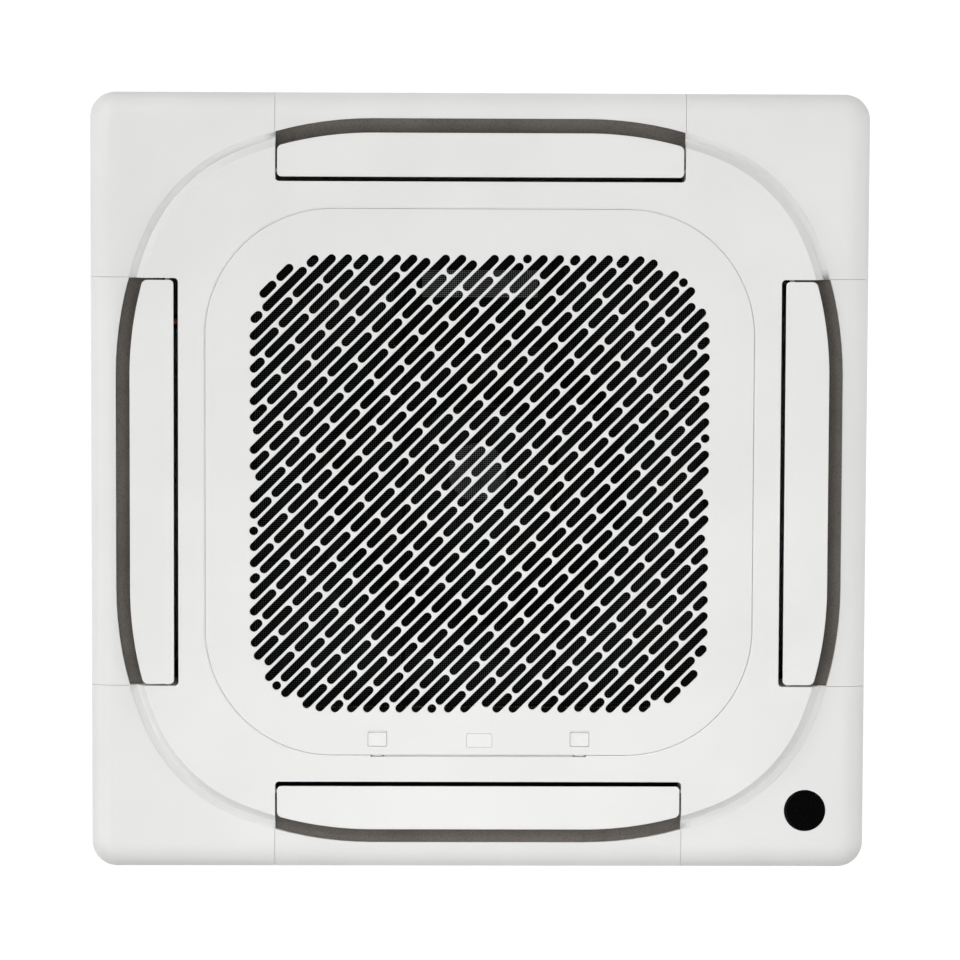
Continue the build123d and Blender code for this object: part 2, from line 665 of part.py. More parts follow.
def hinge_shoe(at):
    """Shoe under the ledge of the well, with the part-round core that a grille arch turns on."""
    low = FACE_Z + SHOE_CLEAR
    near = HINGE_Y + SHOE_CLEAR
    long = HINGE_WIDE + 1 + 2 * SHOE_WALL
    with BuildPart() as shoe:
        with BuildSketch(Plane.YZ.offset(at - long / 2)):
            with Locations((HINGE_Y, FACE_Z)):
                Circle(HINGE_CORE_R)
            with Locations((near + SHOE_DEEP / 2, low + SHOE_DEEP / 2)):
                Rectangle(SHOE_DEEP, SHOE_DEEP, mode=Mode.INTERSECT)
        extrude(amount=long)
        for start in (at - long / 2, at + long / 2 - SHOE_WALL):
            with BuildSketch(Plane.YZ.offset(start)):
                Polygon(
                    (near, low), (near + 6, low), (near + SHOE_DEEP, low + 6),
                    (near + SHOE_DEEP, LEDGE_Z), (near, LEDGE_Z),
                    align=None,
                )
            extrude(amount=SHOE_WALL)
        with BuildSketch(Plane.XY.offset(LEDGE_Z - 2)):
            with Locations((at, near + SHOE_DEEP / 2)):
                Rectangle(long, SHOE_DEEP)
        extrude(amount=2)
    return shoe.part


def filter_frame():
    """Plastic frame of the air filter: border with two bars each way."""
    inner = FILTER_HALF - FILTER_BORDER
    window = (2 * inner - 2 * FILTER_BAR) / 3
    with BuildSketch() as windows:
        with GridLocations(window + FILTER_BAR, window + FILTER_BAR, 3, 3):
            Rectangle(window, window)
        chamfered_square(inner, FILTER_CORNER, Mode.INTERSECT)
    with BuildPart() as frame:
        with BuildSketch(Plane.XY.offset(FACE_Z + GRILLE_THICK)):
            with Locations((0, LATTICE_SHIFT)):
                chamfered_square(FILTER_HALF, FILTER_CORNER)
                add(windows.sketch, mode=Mode.SUBTRACT)
        extrude(amount=FILTER_DEEP)
    return frame.part


def filter_net():
    """The filter's net, laid on top of its frame."""
    with BuildPart() as net:
        with BuildSketch(Plane.XY.offset(FACE_Z + GRILLE_THICK + FILTER_DEEP)):
            with Locations((0, LATTICE_SHIFT)):
                chamfered_square(FILTER_HALF - 2, FILTER_CORNER)
        extrude(amount=0.8)
    return net.part


# ---------------------------------------------------------------- receiver
def receiver_window():
    """Dark round lens, a push fit in the corner cover and just proud of it."""
    with BuildPart() as lens:
        with BuildSketch(Plane.XY.offset(RIM_Z - 0.6)):
            with Locations((WINDOW_X, WINDOW_Y)):
                Circle(WINDOW_R)
        extrude(amount=SKIN + 0.6)
    return lens.part


def receiver_board():
    """Circuit board on two posts behind the lens, with the receiver can under it."""
    with BuildPart() as board:
        with BuildSketch(Plane.XY.offset(BOARD_Z)):
            with Locations((WINDOW_X, WINDOW_Y)):
                Rectangle(2 * BOARD_POST + 3, 40)
        extrude(amount=1.6)
        with BuildSketch(Plane.XY.offset(BOARD_Z - 4)):
            with Locations((WINDOW_X, WINDOW_Y)):
                Rectangle(10, 8)
        extrude(amount=4)
    return board.part


# ---------------------------------------------------------------- cabinet
def wall_holes():
    """Passages through the cabinet wall and its lining for pipes, drain and cable."""
    depth = FOAM + 20
    with BuildPart() as holes:
        for radius, z in ((GAS_R + 2, GAS_Z), (LIQUID_R + 2, LIQUID_Z)):
            with BuildSketch(Plane.YZ.offset(-BODY_HALF - 5)):
                with Locations((PIPE_Y, z)):
                    Circle(radius)
            extrude(amount=depth)
        with BuildSketch(Plane.XZ.offset(BODY_HALF + 5)):
            with Locations((DRAIN_X, DRAIN_Z)):
                Circle(SOCKET_R)
        extrude(amount=-depth)
        with BuildSketch(Plane.XZ.offset(BODY_HALF + 5)):
            with Locations((CABLE_X, CABLE_Z)):
                RegularPolygon(GROMMET_R, 8)
        extrude(amount=-depth)
    return holes.part


def cabinet_shell(holes):
    """Eight-sided sheet steel wall with an inward flange at its foot."""
    with BuildPart() as shell:
        with BuildSketch(Plane.XY.offset(BODY_BOTTOM_Z)):
            octagon(0)
        extrude(amount=BODY_TOP_Z - BODY_BOTTOM_Z)
        with BuildSketch(Plane.XY.offset(BODY_BOTTOM_Z + SHEET)):
            octagon(SHEET)
        extrude(amount=BODY_TOP_Z - BODY_BOTTOM_Z, mode=Mode.SUBTRACT)
        with BuildSketch(Plane.XY.offset(BODY_BOTTOM_Z)):
            octagon(FLANGE_IN)
        extrude(amount=SHEET, mode=Mode.SUBTRACT)
        add(holes, mode=Mode.SUBTRACT)
    return shell.part


def foam_lining(holes):
    """Insulation that lines the cabinet wall."""
    with BuildPart() as lining:
        with BuildSketch(Plane.XY.offset(BODY_BOTTOM_Z + SHEET)):
            octagon(SHEET)
        extrude(amount=BODY_TOP_Z - BODY_BOTTOM_Z - SHEET)
        with BuildSketch(Plane.XY.offset(BODY_BOTTOM_Z + SHEET)):
            octagon(SHEET + FOAM)
        extrude(amount=BODY_TOP_Z - BODY_BOTTOM_Z, mode=Mode.SUBTRACT)
        add(holes, mode=Mode.SUBTRACT)
    return lining.part


def top_plate():
    """Lid of the cabinet with pressed stiffening ribs and a raised motor seat."""
    with BuildPart() as plate:
        with BuildSketch(Plane.XY.offset(BODY_TOP_Z)):
            octagon(0)
        extrude(amount=1.5)
        with BuildSketch(Plane.XY.offset(BODY_TOP_Z + 1.5)):
            Circle(110)
        extrude(amount=3, taper=45)
        with BuildSketch(Plane.XY.offset(BODY_TOP_Z + 1.5)):
            with PolarLocations(245, 8, start_angle=22.5):
                Rectangle(190, 30)
        extrude(amount=3, taper=45)
    return plate.part


def hanging_bracket():
    """Bracket on the +X +Y chamfer: back plate, lug with the slotted rod hole and two gussets."""
    face = (2 * BODY_HALF - BODY_CHAMFER) / sqrt(2)
    outwards = (sqrt(0.5), sqrt(0.5), 0)
    sideways = Vector(-sqrt(0.5), sqrt(0.5), 0)
    along = (ROD_Y - ROD_X) / sqrt(2)
    with BuildPart() as bracket:
        with BuildSketch(Plane(origin=(0, 0, 0), x_dir=sideways, z_dir=outwards).offset(face)):
            with Locations((along, -LUG_DROP / 2)):
                Rectangle(LUG_WIDE, LUG_DROP)
        extrude(amount=LUG_THICK)
        with BuildSketch(Plane.XY.offset(-LUG_THICK).rotated((0, 0, 45))) as lug:
            with Locations((face + LUG_REACH / 2, along)):
                Rectangle(LUG_REACH, LUG_WIDE)
            chamfer(lug.vertices().sort_by(lambda v: v.X + v.Y)[-2:], LUG_CUT)
        extrude(amount=LUG_THICK)
        for side in (-1, 1):
            middle = sideways * (along + side * (LUG_WIDE / 2 - 2))
            with BuildSketch(Plane(origin=middle, x_dir=outwards, z_dir=-sideways)):
                Polygon((face, -1), (face + 38, -1), (face, -50), align=None)
            extrude(amount=LUG_THICK / 2, both=True)
        with BuildSketch(Plane.XY):
            with Locations((ROD_X, ROD_Y)):
                SlotOverall(ROD_SLOT_LONG, ROD_SLOT_WIDE)
        extrude(amount=-LUG_THICK, mode=Mode.SUBTRACT)
    return bracket.part


# ---------------------------------------------------------------- drain pan, coil and air path
def drain_pan():
    """Moulded foam pan: condensate trough under the coil, pump sump and the four air ducts."""
    foot = BODY_BOTTOM_Z + SHEET
    with BuildPart() as pan:
        with BuildSketch(Plane.XY.offset(foot)):
            octagon(BODY_HALF - PAN_HALF)
            duct_openings()
            chamfered_square(PAN_INNER, PAN_INNER_CORNER, Mode.SUBTRACT)
        extrude(amount=PAN_TOP_Z - foot)
        with BuildSketch(Plane.XY.offset(PAN_LEDGE_Z)):
            chamfered_square(PAN_INNER, PAN_INNER_CORNER)
            chamfered_square(THROAT, PAN_INNER_CORNER, Mode.SUBTRACT)
        extrude(amount=PAN_TOP_Z - PAN_LEDGE_Z)
        with BuildSketch(Plane.XY.offset(TROUGH_Z)):
            outer = COIL_HALF + TROUGH_MARGIN
            inner = COIL_HALF - COIL_THICK - TROUGH_MARGIN
            RectangleRounded(2 * outer, 2 * outer, COIL_CORNER + TROUGH_MARGIN)
            chamfered_square(inner, COIL_CORNER - COIL_THICK, Mode.SUBTRACT)
        extrude(amount=PAN_TOP_Z - TROUGH_Z, mode=Mode.SUBTRACT)
        with BuildSketch(Plane.XY.offset(SUMP_Z)):
            with Locations((SUMP_X, SUMP_Y)):
                Rectangle(100, 60)
        extrude(amount=TROUGH_Z - SUMP_Z, mode=Mode.SUBTRACT)
    return pan.part


def coil():
    """Finned heat exchanger bent round the fan, open at the pipe corner."""
    with BuildPart() as block:
        with BuildSketch(Plane.XY.offset(TROUGH_Z)):
            RectangleRounded(2 * COIL_HALF, 2 * COIL_HALF, COIL_CORNER)
            inner = COIL_HALF - COIL_THICK
            RectangleRounded(2 * inner, 2 * inner, COIL_CORNER - COIL_THICK, mode=Mode.SUBTRACT)
            with Locations((-COIL_END - 200, -COIL_END - 200)):
                Rectangle(400, 400, mode=Mode.SUBTRACT)
        extrude(amount=COIL_TOP_Z - TROUGH_Z)
    return block.part


def coil_end_plates():
    """Two sheet-metal plates on the coil's ends."""
    edge = -COIL_END - END_PLATE / 2
    with BuildPart() as plates:
        with BuildSketch(Plane.XY.offset(TROUGH_Z)):
            with Locations((PIPE_X, edge)):
                Rectangle(COIL_THICK, END_PLATE)
            with Locations((edge, PIPE_X)):
                Rectangle(END_PLATE, COIL_THICK)
        extrude(amount=COIL_TOP_Z - TROUGH_Z)
    return plates.part


def coil_headers():
    """Gas and liquid headers that stand against one end plate."""
    with BuildPart() as headers:
        for low, high in ((GAS_Z - 50, GAS_Z + 20), (LIQUID_Z - 12, LIQUID_Z + 48)):
            with BuildSketch(Plane.XY.offset(low)):
                with Locations((PIPE_X, PIPE_Y)):
                    RegularPolygon(HEADER_R, 8, major_radius=False, rotation=22.5)
            extrude(amount=high - low)
    return headers.part


def partition_plate():
    """Sheet across the pipe corner, between the end plates of the coil."""
    near = -COIL_END - END_PLATE
    far = -COIL_HALF + COIL_THICK
    with BuildPart() as plate:
        with BuildSketch(Plane.XY.offset(PAN_TOP_Z)):
            Polygon((far, near), (far - 1.5, near), (near, far - 1.5), (near, far), align=None)
        extrude(amount=COIL_TOP_Z - PAN_TOP_Z)
    return plate.part


def bell_mouth():
    """Plate over the pan's opening with the inlet ring that guides air into the fan."""
    foot = PAN_LEDGE_Z - BELL_SKIN
    flare = 36
    slope = degrees(atan((MOUTH_R - LIP_R) / flare))
    with BuildPart() as bell:
        with BuildSketch(Plane.XY.offset(foot)):
            chamfered_square(PAN_INNER - 1, PAN_INNER_CORNER)
        extrude(amount=BELL_SKIN)
        with BuildSketch(Plane.XY.offset(foot)):
            Circle(MOUTH_R + 1.4 * BELL_SKIN)
        extrude(amount=flare, taper=slope)
        with BuildSketch(Plane.XY.offset(foot + flare)):
            Circle(LIP_R + BELL_SKIN)
        extrude(amount=LIP_TOP_Z - foot - flare)
        with BuildSketch(Plane.XY.offset(foot)):
            Circle(MOUTH_R)
        extrude(amount=flare, taper=slope, mode=Mode.SUBTRACT)
        with BuildSketch(Plane.XY.offset(foot)):
            Circle(LIP_R)
        extrude(amount=LIP_TOP_Z - foot, mode=Mode.SUBTRACT)
    return bell.part


# ---------------------------------------------------------------- fan
def blade_face():
    """Plan of one backward-curved blade between two arcs."""
    root = (150, 0)
    tip = (205, 128)
    with BuildSketch() as face:
        with BuildLine() as outline:
            RadiusArc(root, tip, 160)
            Line(tip, (tip[0] - 3, tip[1] + 4))
            RadiusArc((tip[0] - 3, tip[1] + 4), (root[0] - 5, root[1] + 1), -168)
            Line((root[0] - 5, root[1] + 1), root)
        make_face()
    return face.sketch


def flare(top, rim, throat):
    """Frustum from a wide rim at height top down to the throat, with a straight collar under it."""
    with BuildPart() as solid:
        with BuildSketch(Plane.XY.offset(top)):
            Circle(rim)
        extrude(amount=-FLARE, taper=degrees(atan((rim - throat) / FLARE)))
        with BuildSketch(Plane.XY.offset(COLLAR_Z)):
            Circle(throat)
        extrude(amount=top - FLARE - COLLAR_Z)
    return solid.part


def fan_blades():
    """Seven blades between the hub plate and the flare of the shroud."""
    seat = SHROUD_TOP_Z - SKIN / 2
    with BuildPart() as room:
        add(flare(seat, FAN_R, FAN_INLET_R + 2))
        with BuildSketch(Plane.XY.offset(seat)):
            Circle(FAN_R)
        extrude(amount=HUB_TOP_Z - seat - 1)
    with BuildPart() as blades:
        with BuildSketch(Plane.XY.offset(SHROUD_TOP_Z - FLARE)):
            with PolarLocations(0, FAN_BLADES):
                add(blade_face())
        extrude(amount=HUB_TOP_Z - SHROUD_TOP_Z + FLARE)
        add(room.part, mode=Mode.INTERSECT)
    return blades.part


def turbo_fan():
    """Centrifugal fan: cupped hub plate, seven backward-curved blades and a flared shroud."""
    with BuildPart() as fan:
        with BuildSketch(Plane.XY.offset(SHROUD_TOP_Z - SKIN)):
            Circle(FAN_R)
        extrude(amount=SKIN)
        add(flare(SHROUD_TOP_Z - SKIN, FAN_R, FAN_INLET_R + 3))
        add(flare(SHROUD_TOP_Z, FAN_R - 1, FAN_INLET_R + 1), mode=Mode.SUBTRACT)
        add(fan_blades())
        with BuildSketch(Plane.XY.offset(HUB_TOP_Z - SKIN)):
            Circle(FAN_R)
        extrude(amount=SKIN)
        with BuildSketch(Plane.XY.offset(HUB_FOOT_Z)):
            Circle(HUB_CUP_R)
        extrude(amount=HUB_TOP_Z - HUB_FOOT_Z)
        with BuildSketch(Plane.XY.offset(HUB_FOOT_Z + SKIN)):
            Circle(HUB_CUP_R - SKIN)
        extrude(amount=HUB_TOP_Z - HUB_FOOT_Z, mode=Mode.SUBTRACT)
        with BuildSketch(Plane.XY.offset(HUB_FOOT_Z)):
            Circle(SHAFT_R)
        extrude(amount=SKIN, mode=Mode.SUBTRACT)
    return fan.part


def hub_insert():
    """Aluminium hub insert under the cup's floor, its face parted into three sectors."""
    foot = HUB_FOOT_Z - INSERT_THICK
    with BuildPart() as insert:
        with BuildSketch(Plane.XY.offset(foot)):
            Circle(36.5)
            Circle(SHAFT_R, mode=Mode.SUBTRACT)
        extrude(amount=INSERT_THICK)
        with BuildSketch(Plane.XY.offset(foot)):
            with PolarLocations(27, 3, start_angle=90):
                Rectangle(24, 7)
        extrude(amount=4, mode=Mode.SUBTRACT)
    return insert.part


def fan_shaft():
    """Steel motor shaft with the fan on its lower end."""
    with BuildPart() as shaft:
        with BuildSketch(Plane.XY.offset(SHAFT_FOOT_Z)):
            Circle(SHAFT_R)
        extrude(amount=MOTOR_FOOT_Z + 18 - SHAFT_FOOT_Z)
    return shaft.part


def fan_nut():
    """Hexagon nut that clamps the hub insert to the shaft."""
    with BuildPart() as nut:
        with BuildSketch(Plane.XY.offset(HUB_FOOT_Z - INSERT_THICK - NUT_THICK)):
            RegularPolygon(15, 6)
            Circle(SHAFT_R, mode=Mode.SUBTRACT)
        extrude(amount=NUT_THICK)
    return nut.part


def fan_motor():
    """Round fan motor with three mounting lugs, bored for the shaft."""
    with BuildPart() as motor:
        with BuildSketch(Plane.XY.offset(MOTOR_FOOT_Z)):
            Circle(MOTOR_R)
        extrude(amount=MOTOR_FLANGE_Z + FLANGE_THICK - MOTOR_FOOT_Z)
        with BuildSketch(Plane.XY.offset(MOTOR_FLANGE_Z)):
            with PolarLocations(MOUNT_RING_R, 3):
                Rectangle(28, 24)
        extrude(amount=FLANGE_THICK)
        with BuildSketch(Plane.XY.offset(MOTOR_FOOT_Z)):
            Circle(SHAFT_R + RUNNING_GAP)
        extrude(amount=20, mode=Mode.SUBTRACT)
    return motor.part


def motor_mounts():
    """Three rubber blocks between the motor's lugs and the top plate."""
    with BuildPart() as mounts:
        with BuildSketch(Plane.XY.offset(MOTOR_FLANGE_Z + FLANGE_THICK)):
            with PolarLocations(MOUNT_RING_R, 3):
                RegularPolygon(9, 8)
        extrude(amount=BODY_TOP_Z - MOTOR_FLANGE_Z - FLANGE_THICK)
    return mounts.part


# ---------------------------------------------------------------- pipes, drain and wiring
def pipe_stub(radius, z):
    """Straight pipe from its header out through the -X wall to its union."""
    start = UNION_X + UNION_LONG
    with BuildPart() as pipe:
        with BuildSketch(Plane.YZ.offset(start)):
            with Locations((PIPE_Y, z)):
                Circle(radius)
        extrude(amount=PIPE_X - HEADER_R - start)
    return pipe.part


def flare_union(thread_r, z):
    """Brass flare union on a pipe's outer end: hexagon, then the threaded nose."""
    with BuildPart() as union:
        with BuildSketch(Plane.YZ.offset(UNION_X + NOSE_LONG)):
            with Locations((PIPE_Y, z)):
                RegularPolygon(thread_r * 1.3, 6)
        extrude(amount=UNION_LONG - NOSE_LONG)
        with BuildSketch(Plane.YZ.offset(UNION_X)):
            with Locations((PIPE_Y, z)):
                Circle(thread_r)
        extrude(amount=NOSE_LONG)
    return union.part


def drain_pump():
    """Condensate pump over the sump: head, foot, suction tube and side nozzle."""
    with BuildPart() as pump:
        with BuildSketch(Plane.XY.offset(PUMP_HEAD_Z)):
            with Locations((DRAIN_X, PUMP_Y)):
                Circle(26)
        extrude(amount=80)
        with BuildSketch(Plane.XY.offset(PUMP_HEAD_Z)):
            with Locations((DRAIN_X, PUMP_Y)):
                RegularPolygon(8, 8)
        extrude(amount=-57)
        with BuildSketch(Plane.XY.offset(TROUGH_Z)):
            with Locations((DRAIN_X, PUMP_Y - 24.5)):
                Rectangle(24, 7)
        extrude(amount=PUMP_HEAD_Z - TROUGH_Z)
        with BuildSketch(Plane.XZ.offset(-PUMP_Y + 8)):
            with Locations((DRAIN_X, DRAIN_Z)):
                Circle(DRAIN_BORE)
        extrude(amount=34)
    return pump.part


def drain_socket():
    """Drain pipe from the pump's nozzle, with a shoulder on the -Y wall and its hose end outside."""
    inside = -PUMP_Y + 30
    with BuildPart() as pipe:
        with BuildSketch(Plane.XZ.offset(inside)):
            with Locations((DRAIN_X, DRAIN_Z)):
                Circle(SOCKET_R)
        extrude(amount=BODY_HALF - inside)
        with BuildSketch(Plane.XZ.offset(BODY_HALF)):
            with Locations((DRAIN_X, DRAIN_Z)):
                Circle(DRAIN_R)
        extrude(amount=32)
        with BuildSketch(Plane.XZ.offset(inside)):
            with Locations((DRAIN_X, DRAIN_Z)):
                Circle(DRAIN_BORE)
        extrude(amount=BODY_HALF + 32 - inside, mode=Mode.SUBTRACT)
    return pipe.part


def float_stem():
    """Stem of the float switch with its arm on the pan's rim."""
    with BuildPart() as stem:
        with BuildSketch(Plane.XY.offset(SUMP_Z + 2)):
            with Locations((FLOAT_X, FLOAT_Y)):
                Circle(STEM_R)
        extrude(amount=PAN_TOP_Z - SUMP_Z - 2)
        with BuildSketch(Plane.XY.offset(PAN_TOP_Z)):
            with Locations((FLOAT_X - 21, FLOAT_Y)):
                Rectangle(62, 12)
        extrude(amount=2)
    return stem.part


def float_ring():
    """Float that rides up the stem."""
    with BuildPart() as ring:
        with BuildSketch(Plane.XY.offset(SUMP_Z + 6)):
            with Locations((FLOAT_X, FLOAT_Y)):
                RegularPolygon(10, 12)
                Circle(STEM_R + 0.4, mode=Mode.SUBTRACT)
        extrude(amount=14)
    return ring.part


def cable_grommet():
    """Rubber grommet in the -Y wall for the supply cable."""
    with BuildPart() as grommet:
        with BuildSketch(Plane.XZ.offset(BODY_HALF - SHEET - FOAM)):
            with Locations((CABLE_X, CABLE_Z)):
                RegularPolygon(GROMMET_R, 8)
                Circle(CABLE_R, mode=Mode.SUBTRACT)
        extrude(amount=SHEET + FOAM + 3)
    return grommet.part


def control_box():
    """Tray of the control box, hung under the bell mouth's plate and open downwards."""
    roof = PAN_LEDGE_Z - BELL_SKIN
    with BuildPart() as tray:
        with BuildSketch(Plane.XY.offset(BOX_FOOT_Z)):
            with Locations((0, BOX_AT)):
                Rectangle(BOX_X, BOX_Y)
        extrude(amount=roof - BOX_FOOT_Z)
        with BuildSketch(Plane.XY.offset(BOX_FOOT_Z)):
            with Locations((0, BOX_AT)):
                Rectangle(BOX_X - 2 * BOX_WALL, BOX_Y - 2 * BOX_WALL)
        extrude(amount=roof - BOX_FOOT_Z - BOX_WALL, mode=Mode.SUBTRACT)
    return tray.part


def control_box_lid():
    """Lid that closes the control box from below."""
    with BuildPart() as lid:
        with BuildSketch(Plane.XY.offset(BOX_FOOT_Z - BOX_WALL)):
            with Locations((0, BOX_AT)):
                Rectangle(BOX_X, BOX_Y)
        extrude(amount=BOX_WALL)
    return lid.part


def control_board():
    """Circuit board on the lid's two battens, with its larger components."""
    with BuildPart() as board:
        with BuildSketch(Plane.XY.offset(BOX_FOOT_Z)):
            with Locations((-90, BOX_AT), (90, BOX_AT)):
                Rectangle(6, 90)
        extrude(amount=4)
        with BuildSketch(Plane.XY.offset(BOX_FOOT_Z + 4)):
            with Locations((0, BOX_AT)):
                Rectangle(196, 98)
        extrude(amount=1.6)
        with BuildSketch(Plane.XY.offset(BOX_FOOT_Z + 5.6)):
            with Locations((-60, BOX_AT), (-20, BOX_AT - 15), (40, BOX_AT + 15)):
                Rectangle(26, 30)
        extrude(amount=20)
    return board.part


def panel_gasket():
    """Foam seal between the panel and the unit, open at the ducts and the intake."""
    with BuildPart() as seal:
        with BuildSketch(Plane.XY.offset(CEILING_Z)):
            octagon(8)
            duct_openings()
            chamfered_square(INTAKE_HALF, FILTER_CORNER, Mode.SUBTRACT)
        extrude(amount=BODY_BOTTOM_Z - CEILING_Z)
    return seal.part


# ---------------------------------------------------------------- write every piece
def build_panel():
    """Frame, corner covers, receiver, louvers, drives and the intake grille."""
    save(panel_frame(), "panel_frame")
    for name, turn in CORNERS.items():
        cover = corner_cover(window=name == "right_latch")
        save(cover.rotate(Axis.Z, turn), f"corner_cover_{name}")
    save(receiver_window(), "receiver_window")
    save(receiver_board(), "receiver_board")
    for name, turn in SIDES.items():
        save(louver().rotate(Axis.Z, turn), f"louver_{name}")
        save(outlet_deflector().rotate(Axis.Z, turn), f"outlet_deflector_{name}")
    save(Part(children=[louver_bush().rotate(Axis.Z, turn) for turn in SIDES.values()]), "louver_bushes")
    save(Part(children=[louver_motor().rotate(Axis.Z, turn) for turn in SIDES.values()]), "louver_motors")
    save(intake_grille(), "intake_grille")
    save(Part(children=[hinge_shoe(-HINGE_AT), hinge_shoe(HINGE_AT)]), "grille_hinge_shoes")
    save(grille_latch(-LATCH_AT), "grille_latch_left")
    save(grille_latch(LATCH_AT), "grille_latch_right")
    save(filter_frame(), "filter_frame")
    save(filter_net(), "filter_net")
    save(panel_gasket(), "panel_gasket")


def build_unit():
    """Cabinet, hanging brackets and everything inside."""
    holes = wall_holes()
    save(cabinet_shell(holes), "cabinet_shell")
    save(foam_lining(holes), "foam_lining")
    save(top_plate(), "top_plate")
    bracket = hanging_bracket()
    save(bracket, "hanging_bracket_right_latch")
    save(bracket.mirror(Plane.YZ), "hanging_bracket_left_latch")
    save(bracket.mirror(Plane.XZ), "hanging_bracket_right_hinge")
    save(bracket.mirror(Plane.YZ).mirror(Plane.XZ), "hanging_bracket_left_hinge")
    save(drain_pan(), "drain_pan")
    save(bell_mouth(), "bell_mouth")
    save(coil(), "coil")
    save(coil_end_plates(), "coil_end_plates")
    save(coil_headers(), "coil_headers")
    save(partition_plate(), "partition_plate")
    save(turbo_fan(), "turbo_fan")
    save(hub_insert(), "fan_hub_insert")
    save(fan_nut(), "fan_nut")
    save(fan_shaft(), "fan_shaft")
    save(fan_motor(), "fan_motor")
    save(motor_mounts(), "motor_mounts")
    save(pipe_stub(GAS_R, GAS_Z), "gas_pipe")
    save(pipe_stub(LIQUID_R, LIQUID_Z), "liquid_pipe")
    save(flare_union(GAS_NOSE_R, GAS_Z), "gas_union")
    save(flare_union(LIQUID_NOSE_R, LIQUID_Z), "liquid_union")
    save(drain_pump(), "drain_pump")
    save(drain_socket(), "drain_socket")
    save(float_stem(), "float_switch_stem")
    save(float_ring(), "float_switch_float")
    save(cable_grommet(), "cable_grommet")
    save(control_box(), "control_box")
    save(control_box_lid(), "control_box_lid")
    save(control_board(), "control_board")


if __name__ == "__main__":
    build_panel()
    build_unit()
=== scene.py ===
"""Four-way ceiling cassette air conditioner, seen from the room below: white panel, louvers and intake grille.

Lengths are in millimetres in the named values and in metres in Blender. The panel faces down, -Y is the hinge
side of the intake grille and +Y its latch side.
"""
import json

import bmesh
import bpy
import numpy as np
from mathutils import Matrix, Vector
from mathutils.geometry import tessellate_polygon


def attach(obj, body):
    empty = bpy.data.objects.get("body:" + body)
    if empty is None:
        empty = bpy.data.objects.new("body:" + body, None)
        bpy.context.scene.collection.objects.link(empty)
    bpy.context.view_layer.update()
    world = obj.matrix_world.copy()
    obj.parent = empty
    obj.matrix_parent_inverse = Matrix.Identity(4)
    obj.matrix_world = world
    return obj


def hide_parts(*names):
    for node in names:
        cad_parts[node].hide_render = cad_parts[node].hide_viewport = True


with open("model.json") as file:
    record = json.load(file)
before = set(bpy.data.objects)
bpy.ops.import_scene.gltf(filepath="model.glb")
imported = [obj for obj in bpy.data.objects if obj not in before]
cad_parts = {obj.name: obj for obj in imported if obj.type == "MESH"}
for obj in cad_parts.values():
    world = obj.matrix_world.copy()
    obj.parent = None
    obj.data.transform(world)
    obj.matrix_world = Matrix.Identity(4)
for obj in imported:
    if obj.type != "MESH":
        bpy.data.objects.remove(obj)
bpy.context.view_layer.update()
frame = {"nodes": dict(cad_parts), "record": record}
nodes = frame["nodes"]

# ---------------------------------------------------------------- the object's own sizes, as the CAD has them
# heights, up from the unit's middle; the ceiling's lower face is at CEILING_Z
FACE_Z = -135.0
RIM_Z = -124.0
GROOVE_Z = -119.0
RIM_EDGE_Z = -113.0
CEILING_Z = -105.0
# panel frame, its groove and its corner covers
SKIN = 3.0
EDGE_ROUND = 1.2  # radius of the frame's and the grille's own edges
PANEL_HALF = 475.0
PANEL_CORNER = 31.0
DOME_WIDTH = 29.0
GROOVE_HALF = 444.0
GROOVE_STRAIGHT = 130.0
GROOVE_SIDE_R = 450.0
GROOVE_CORNER_R = 210.0
GROOVE_WIDTH = 17.5
COVER_START = 250.4
POST_AT = 285.0
POST_SIDE = 455.0
WINDOW_AT = (402.5, 404.0)
WINDOW_R = 25.5
WINDOW_PLAY = 0.15
PINHOLE_AT = (412.1, 434.3)
PINHOLE_R = 1.3
CORNERS = {"right_latch": 0, "left_latch": 90, "left_hinge": 180, "right_hinge": 270}  # turn in degrees
# louvers
LOUVER_INNER = 373.0
LOUVER_HALF = 247.0
LOUVER_THICK = 2.5
LOUVER_AXIS = 381.0
LOUVER_AXIS_Z = -121.0
LOUVER_CHEEK = 245.0
LOUVER_RIBS = (-243.5, -80.0, 80.0, 243.5)
SIDES = {"latch_side": 0, "right": -90, "hinge_side": 180, "left": 90}  # turn in degrees
# intake grille with its slots, hinge, latches and bare plate
GRILLE_HALF = 334.5
GRILLE_CORNER = 155.0
GRILLE_THICK = 3.0
GRILLE_WALL = 2.5
GRILLE_RIM_Z = -125.0
LATTICE_HALF = 280.5
LATTICE_SHIFT = 1.5
ROW_CORNER = 100.0  # corners of the slotted field that the rows run into
SIDE_CORNER = 92.0  # corners that lie beside the rows
ROW_PITCH = 14.02
SLOT_PITCH = 76.2
SLOT_LENGTH = 72.7
SLOT_WIDTH = 10.5
SLOT_LEAST = 0.6
HINGE_AT = 106.0
HINGE_Y = -322.5
LATCH_AT = 124.0
LATCH_Y = 315.0
LATCH_WIDE = 22.5
LATCH_DEEP = 16.5
LATCH_TRAVEL = 2.0
LATCH_PLAY = 0.5
PLATE_AT = (1.0, 316.2)
PLATE_WIDE = 31.0
PLATE_DEEP = 16.5
# cabinet, pipes and control box
BODY_HALF = 420.0
BODY_CHAMFER = 150.0
PIPE_Y = -191.5
BOX_AT = -220.0
BOX_FOOT_Z = -96.0
# not sizes of the object
MERGE = 2e-6  # metres within which doubled points are merged
WAVE = 1000 * np.pi / 10  # a wave texture's scale is this over the pitch of its bands in millimetres


